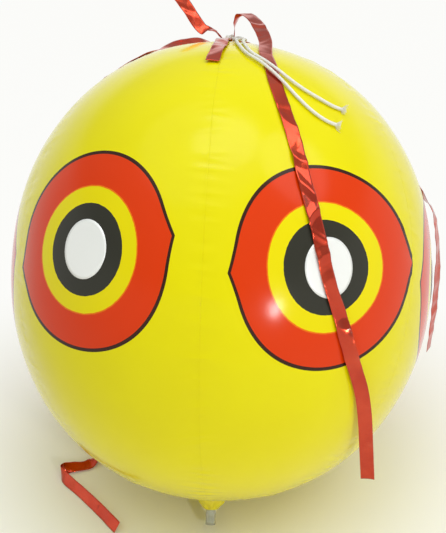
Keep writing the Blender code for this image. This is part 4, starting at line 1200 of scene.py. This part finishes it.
def station_side(station, normal, tangent):
    """Direction of the band's width at a station."""
    run = tangent / np.linalg.norm(tangent)
    if station[0] == "AIR":
        side = np.array(station[2], float)
    elif station[0] in ("HANG", "FLOOR"):
        side = TILT.T @ np.array(station[2], float)
    else:
        turn = math.radians(station[2][0])
        across = np.cross(normal, run)
        side = across / np.linalg.norm(across) * math.cos(turn) + normal * math.sin(turn)
    side = side - run * side.dot(run)
    return side / np.linalg.norm(side)


def add_ribbon(name, route, start, body, creases, seed):
    """A streamer of creased film: its route, finely divided, with sharp folds slanting across it that stand
    away from the ball or table, and pleats where it fans out from the waist."""
    stations = [(kind, row[:3], row[3:]) for kind, rows in route for row in rows]
    placed = [station_place(kind, numbers, start) for kind, numbers, _ in stations]
    places = [place for place, _ in placed]
    lengths, tangents = route_tangents(places)
    sides = []
    for station, (_, normal), tangent in zip(stations, placed, tangents):
        side = station_side(station, normal, tangent)
        if sides and side.dot(sides[-1]) < 0.0:
            side = -side
        sides.append(side)
    free_shares = [{"AIR": 0.8, "HANG": 1.0}.get(station[0], 0.0) for station in stations]
    sections = []
    for index in range(len(places) - 1):
        span = lengths[index + 1] - lengths[index]
        count = max(2, math.ceil(span / RIBBON_STEP))
        for step in range(count + (index == len(places) - 2)):
            t = step / count
            ease = t * t * (3 - 2 * t)
            side = sides[index] * (1 - ease) + sides[index + 1] * ease
            free = free_shares[index] * (1 - t) + free_shares[index + 1] * t
            place = hermite(places, tangents, index, span, t)
            sections.append((place, side / np.linalg.norm(side), free, stations[index][0]))
    centres = np.array([section[0] for section in sections])
    widths_to = np.array([section[1] for section in sections])
    free = np.array([section[2] for section in sections])
    floor = np.array([section[3] == "FLOOR" for section in sections])
    runs = unit_rows(np.gradient(centres, axis=0))
    distance = np.concatenate([[0.0], np.cumsum(np.linalg.norm(np.diff(centres, axis=0), axis=1))])
    total = distance[-1]
    face = unit_rows(np.cross(runs, widths_to))
    for index in range(1, len(face)):
        if face[index].dot(face[index - 1]) < 0.0:
            face[index] = -face[index]
    away = unit_rows(centres)
    away[floor] = -DOWN
    toward = face * np.sum(face * away, axis=1, keepdims=True)

    columns = RIBBON_COLUMNS
    x = np.linspace(-1.0, 1.0, columns)
    folds = np.random.default_rng(seed)
    stand = np.zeros((len(sections), columns))
    at = FIRST_FOLD
    while at < total - 0.003:
        share = np.interp(at / total, [c[0] for c in creases], [c[1] for c in creases])
        tall = share * folds.uniform(0.35, 1.0)
        wide = folds.uniform(0.0045, 0.0110)
        slant = folds.uniform(-0.008, 0.008)
        bow = folds.uniform(-0.002, 0.002)
        along = (distance[:, None] - at + slant * x[None, :] + bow * x[None, :] ** 2) / wide
        stand += tall * np.maximum(0.0, 1.0 - np.abs(along))
        at += folds.uniform(0.008, 0.024)
    cup = np.interp(distance / total, np.linspace(0, 1, 9), folds.uniform(-1.0, 1.0, 9))
    stand += 0.0005 * (cup[:, None] * x[None, :] ** 2 * 0.5 + 0.5 * np.abs(cup[:, None]) * x[None, :] ** 2)
    near_start = np.clip(distance / STREAMER_FAN_LENGTH, 0.0, 1.0)
    spread = near_start ** 2 * (3.0 - 2.0 * near_start)
    stand *= spread[:, None]
    pleats = 0.0005 * (1.0 - spread)[:, None] * np.clip(distance / 0.003, 0, 1)[:, None]
    pleats = pleats * np.where(np.arange(columns) % 2, 1.0, -1.0)[None, :]
    width = STREAMER_START_WIDTH + (STREAMER_WIDTH - STREAMER_START_WIDTH) * spread
    direction = face * free[:, None] + toward * (1.0 - free)[:, None]
    points = (
        centres[:, None, :]
        + widths_to[:, None, :] * (x[None, :, None] * width[:, None, None] / 2.0)
        + direction[:, None, :] * stand[:, :, None]
        + face[:, None, :] * pleats[:, :, None]
    )
    ribbon = new_piece(
        "ribbon_%s" % name, to_world(points.reshape(-1, 3)), grid_faces(len(sections), columns), film, body,
        ["streamer_%s" % name],
    )
    add_wall(ribbon, STREAMER_FILM, 0.0)


tail_reach = (WRAP_RADIUS + STRING_RADIUS + SEAT_CLEARANCE + STREAMER_FILM) * math.sqrt(0.5)
add_ribbon("front", FRONT_ROUTE_SHARES, gather_start(FRONT_START_SHARES), "front_streamer",
           [(0.0, 0.0006), (0.12, 0.0012), (0.20, 0.0002), (0.34, 0.0002), (0.40, 0.0014), (0.6, 0.0016),
            (0.75, 0.0006), (1.0, 0.0006)],
           21)
add_ribbon("right", RIGHT_ROUTE_SHARES, gather_start(RIGHT_START_SHARES), "right_streamer",
           [(0.0, 0.0004), (0.2, 0.0008), (0.6, 0.0012), (1.0, 0.0010)], 22)
add_ribbon("left", LEFT_ROUTE_SHARES, gather_start(LEFT_START_SHARES), "left_streamer",
           [(0.0, 0.0004), (0.1, 0.0008), (0.6, 0.0012), (0.72, 0.0006), (1.0, 0.0007)], 23)
add_ribbon("back", BACK_ROUTE_SHARES, gather_start(BACK_START_SHARES), "back_streamer",
           [(0.0, 0.0006), (0.1, 0.0014), (0.5, 0.0014), (1.0, 0.0010)], 24)
add_ribbon("tail", TAIL_ROUTE_SHARES, KNOT + np.array((0.0, -tail_reach, -tail_reach)), "tail_streamer",
           [(0.0, 0.0004), (0.4, 0.0012), (1.0, 0.0014)], 25)


def valve_place(local):
    """Places in the valve's frame, whose Z runs outwards from the lower pole."""
    turned = np.stack([local[:, 0], -local[:, 1], -local[:, 2] - BALLOON_HALF_HEIGHT], axis=-1)
    return to_world(turned)


def patch_level(radius):
    """Height of the skin under the boot's skirt."""
    return SEAT_CLEARANCE - pole_drop(radius)


mouth = STEM_RADIUS + SEAT_CLEARANCE
shoulder_inside = BOOT_SHOULDER_RADIUS - BOOT_WALL
middle_radius = (BOOT_PATCH_RADIUS + BOOT_SHOULDER_RADIUS) / 2.0
boot_profile = [
    (mouth, BOOT_HEIGHT),
    (mouth + BOOT_WALL, BOOT_HEIGHT),
    (BOOT_SHOULDER_RADIUS, BOOT_SHOULDER_HEIGHT),
    (BOOT_SHOULDER_RADIUS + BOOT_WALL, patch_level(BOOT_SHOULDER_RADIUS) + 2.0 * PATCH_THICKNESS),
    (middle_radius, patch_level(middle_radius) + PATCH_THICKNESS),
    (BOOT_PATCH_RADIUS, patch_level(BOOT_PATCH_RADIUS) + PATCH_THICKNESS),
    (BOOT_PATCH_RADIUS, patch_level(BOOT_PATCH_RADIUS)),
    (middle_radius, patch_level(middle_radius)),
    (shoulder_inside, patch_level(shoulder_inside)),
    (shoulder_inside, BOOT_SHOULDER_HEIGHT),
]


def crumple_boot(radius, height, turn):
    """Soft vertical folds round the boot's cone, none at its mouth or on its skirt."""
    share = np.clip((height - BOOT_SHOULDER_HEIGHT * 0.2) / BOOT_HEIGHT, 0.0, 1.0)
    fold = np.sin(math.pi * share) * (
        np.abs(np.sin(3.5 * turn + 0.9 + 2.2 * share)) * 0.0011
        + 0.0005 * np.sin(9.0 * turn + 1.7 - 3.0 * share)
    )
    return radius + fold, height + 0.4 * fold


mesh = turned_mesh("boot_skirt", finer(boot_profile, 0.0009), 120, valve_place, crumple_boot)
piece_from_mesh("boot_skirt", mesh, vinyl_plain, "balloon", ["valve_boot"])

slope = (BOOT_SHOULDER_RADIUS - mouth - BOOT_WALL) / (BOOT_HEIGHT - BOOT_SHOULDER_HEIGHT)
flange_top = BOOT_SHOULDER_HEIGHT + (shoulder_inside - 2.0 * SEAT_CLEARANCE - STEM_FLANGE_RADIUS) / slope
flange_bottom = flange_top - STEM_FLANGE_THICKNESS
stem_profile = [
    (STEM_BORE_RADIUS + 0.0003, STEM_OUTER_REACH),
    (STEM_RADIUS - 0.0006, STEM_OUTER_REACH),
    (STEM_RADIUS - 0.0002, STEM_OUTER_REACH - 0.0002),
    (STEM_RADIUS, STEM_OUTER_REACH - 0.0007),
    (STEM_RADIUS, STEM_OUTER_REACH - 0.0022),
    (STEM_RADIUS - 0.0003, STEM_OUTER_REACH - 0.0027),
    (STEM_RADIUS - 0.0003, flange_top + 0.0010),
    (STEM_RADIUS + 0.0002, flange_top),
    (STEM_FLANGE_RADIUS, flange_top),
    (STEM_FLANGE_RADIUS, flange_bottom),
    (STEM_RADIUS, flange_bottom),
    (STEM_RADIUS, -STEM_INNER_REACH),
    (STEM_BORE_RADIUS, -STEM_INNER_REACH),
    (STEM_BORE_RADIUS, STEM_OUTER_REACH - 0.0004),
]
mesh = turned_mesh("clear_stem", stem_profile, 72, valve_place)
piece_from_mesh("clear_stem", mesh, clear, "valve_stem", ["valve_stem"])

shank = STEM_BORE_RADIUS - PLUG_SHANK_CLEARANCE
cap_bottom = STEM_OUTER_REACH + SEAT_CLEARANCE
cap_top = cap_bottom + PLUG_CAP_THICKNESS
shank_end = cap_bottom - PLUG_SHANK_LENGTH
plug_profile = [
    (0.0, cap_top - 0.0004),
    (0.0022, cap_top - 0.0004),
    (0.0026, cap_top - 0.0001),
    (0.0028, cap_top),
    (PLUG_CAP_RADIUS - 0.0006, cap_top),
    (PLUG_CAP_RADIUS - 0.0001, cap_top - 0.0003),
    (PLUG_CAP_RADIUS, cap_top - 0.0008),
    (PLUG_CAP_RADIUS, cap_bottom),
    (shank, cap_bottom),
    (shank, shank_end + 0.0014),
    (shank - 0.0006, shank_end + 0.0003),
    (shank - 0.0010, shank_end),
    (0.0, shank_end),
]
mesh = turned_mesh("clear_plug", plug_profile, 72, valve_place)
piece_from_mesh("clear_plug", mesh, clear, "valve_plug", ["valve_plug"])

# The flap keeps the solid's own shape
for slot in frame["nodes"]["valve_flap"].material_slots:
    slot.material = clear

# Table and light
floor_mesh = bpy.data.meshes.new("table")
floor_mesh.from_pydata([(-4, -4, 0), (4, -4, 0), (4, 4, 0), (-4, 4, 0)], [], [(0, 1, 2, 3)])
table = linked_object("table", floor_mesh)
# The board's cream colour is partly its own and partly painted light: the yellow that the ball throws onto the
# table near it, where the board does not fade to white
paper, tree, shader = finish_material("matt_white_board", "F6F2E0", {
    "Roughness": 0.7, "Specular IOR Level": 0.2,
})
floor_mesh.materials.append(paper)
# Away from the ball the board runs out to the white of the backdrop, for what the eye and gloss see of it
place = node(tree, "ShaderNodeTexCoord")
away = node(tree, "ShaderNodeVectorMath", {"operation": "LENGTH"}, {0: place.outputs["Object"]})
fade = node(tree, "ShaderNodeMapRange", {"interpolation_type": "SMOOTHSTEP"}, {
    0: away.outputs["Value"], 1: 0.10, 2: 0.44, 3: 0.0, 4: 0.95,
})
white_share = seen_share(tree, fade)
white = node(tree, "ShaderNodeEmission", {}, {"Color": colour("FDFDFB"), "Strength": 1.0})
board = node(tree, "ShaderNodeMixShader", {}, {0: white_share, 1: shader, 2: white})
tree.links.new(board.outputs[0], tree.nodes["Material Output"].inputs["Surface"])


def add_lamp(name, place, target, size, power, tint):
    """A soft oval lamp looking at a place."""
    lamp = bpy.data.lights.new(name, "AREA")
    lamp.shape = "ELLIPSE"
    lamp.size, lamp.size_y = size
    lamp.energy = power
    lamp.color = tint
    holder = linked_object(name, lamp)
    holder.location = place
    heading = Vector(target) - Vector(place)
    holder.rotation_euler = heading.to_track_quat("-Z", "Y").to_euler()


middle = tuple(BALLOON_CENTRE)


def lamp_place(azimuth, elevation, distance):
    """A place seen from the ball's middle at an azimuth from the front, to the right, and an elevation."""
    azimuth = math.radians(azimuth)
    elevation = math.radians(elevation)
    return (
        middle[0] + distance * math.sin(azimuth) * math.cos(elevation),
        middle[1] - distance * math.cos(azimuth) * math.cos(elevation),
        middle[2] + distance * math.sin(elevation),
    )


add_lamp("overhead", lamp_place(-50.0, 78.0, 2.0), middle, (2.0, 2.0), 6.5, (0.93, 1.0, 0.97))
add_lamp("ceiling_light", lamp_place(14.0, 86.0, 2.0), middle, (0.9, 0.9), 5.5, (0.93, 1.0, 0.97))
add_lamp("window", lamp_place(74.0, 56.0, 2.2), middle, (1.1, 1.4), 8.0, (1.0, 1.0, 1.0))
add_lamp("front_lamp", lamp_place(25.0, 16.5, 1.5), middle, (0.15, 0.15), 4.2, (1.0, 1.0, 1.0))

world = bpy.data.worlds.new("room")
bpy.context.scene.world = world
world.use_nodes = True
tree = world.node_tree
sky = tree.nodes["Background"]
ray_way = node(tree, "ShaderNodeTexCoord")
ray_parts = node(tree, "ShaderNodeSeparateXYZ", {}, {0: ray_way.outputs["Object"]})
fade = node(tree, "ShaderNodeMapRange", {"clamp": True}, {
    0: ray_parts.outputs["Z"], 1: 0.0, 2: 0.8, 3: 0.0, 4: 1.0,
})
tone = node(tree, "ShaderNodeMix", {"data_type": "RGBA"}, {
    0: fade, 6: (0.18, 0.17, 0.16, 1.0), 7: (0.70, 0.73, 0.71, 1.0),
})
# A white backdrop stands behind the table's far edge, for what the eye, gloss and clear pieces see of it
backdrop = node(tree, "ShaderNodeMapRange", {"clamp": True}, {
    0: ray_parts.outputs["Z"], 1: 0.28, 2: 0.42, 3: 1.0, 4: 0.0,
})
backdrop_share = seen_share(tree, backdrop)
surround = node(tree, "ShaderNodeMix", {"data_type": "RGBA"}, {
    0: backdrop_share, 6: tone.outputs[2], 7: colour("FDFDFB"),
})
tree.links.new(surround.outputs[2], sky.inputs["Color"])
sky.inputs["Strength"].default_value = 1.0

bpy.context.scene.view_settings.view_transform = "Standard"
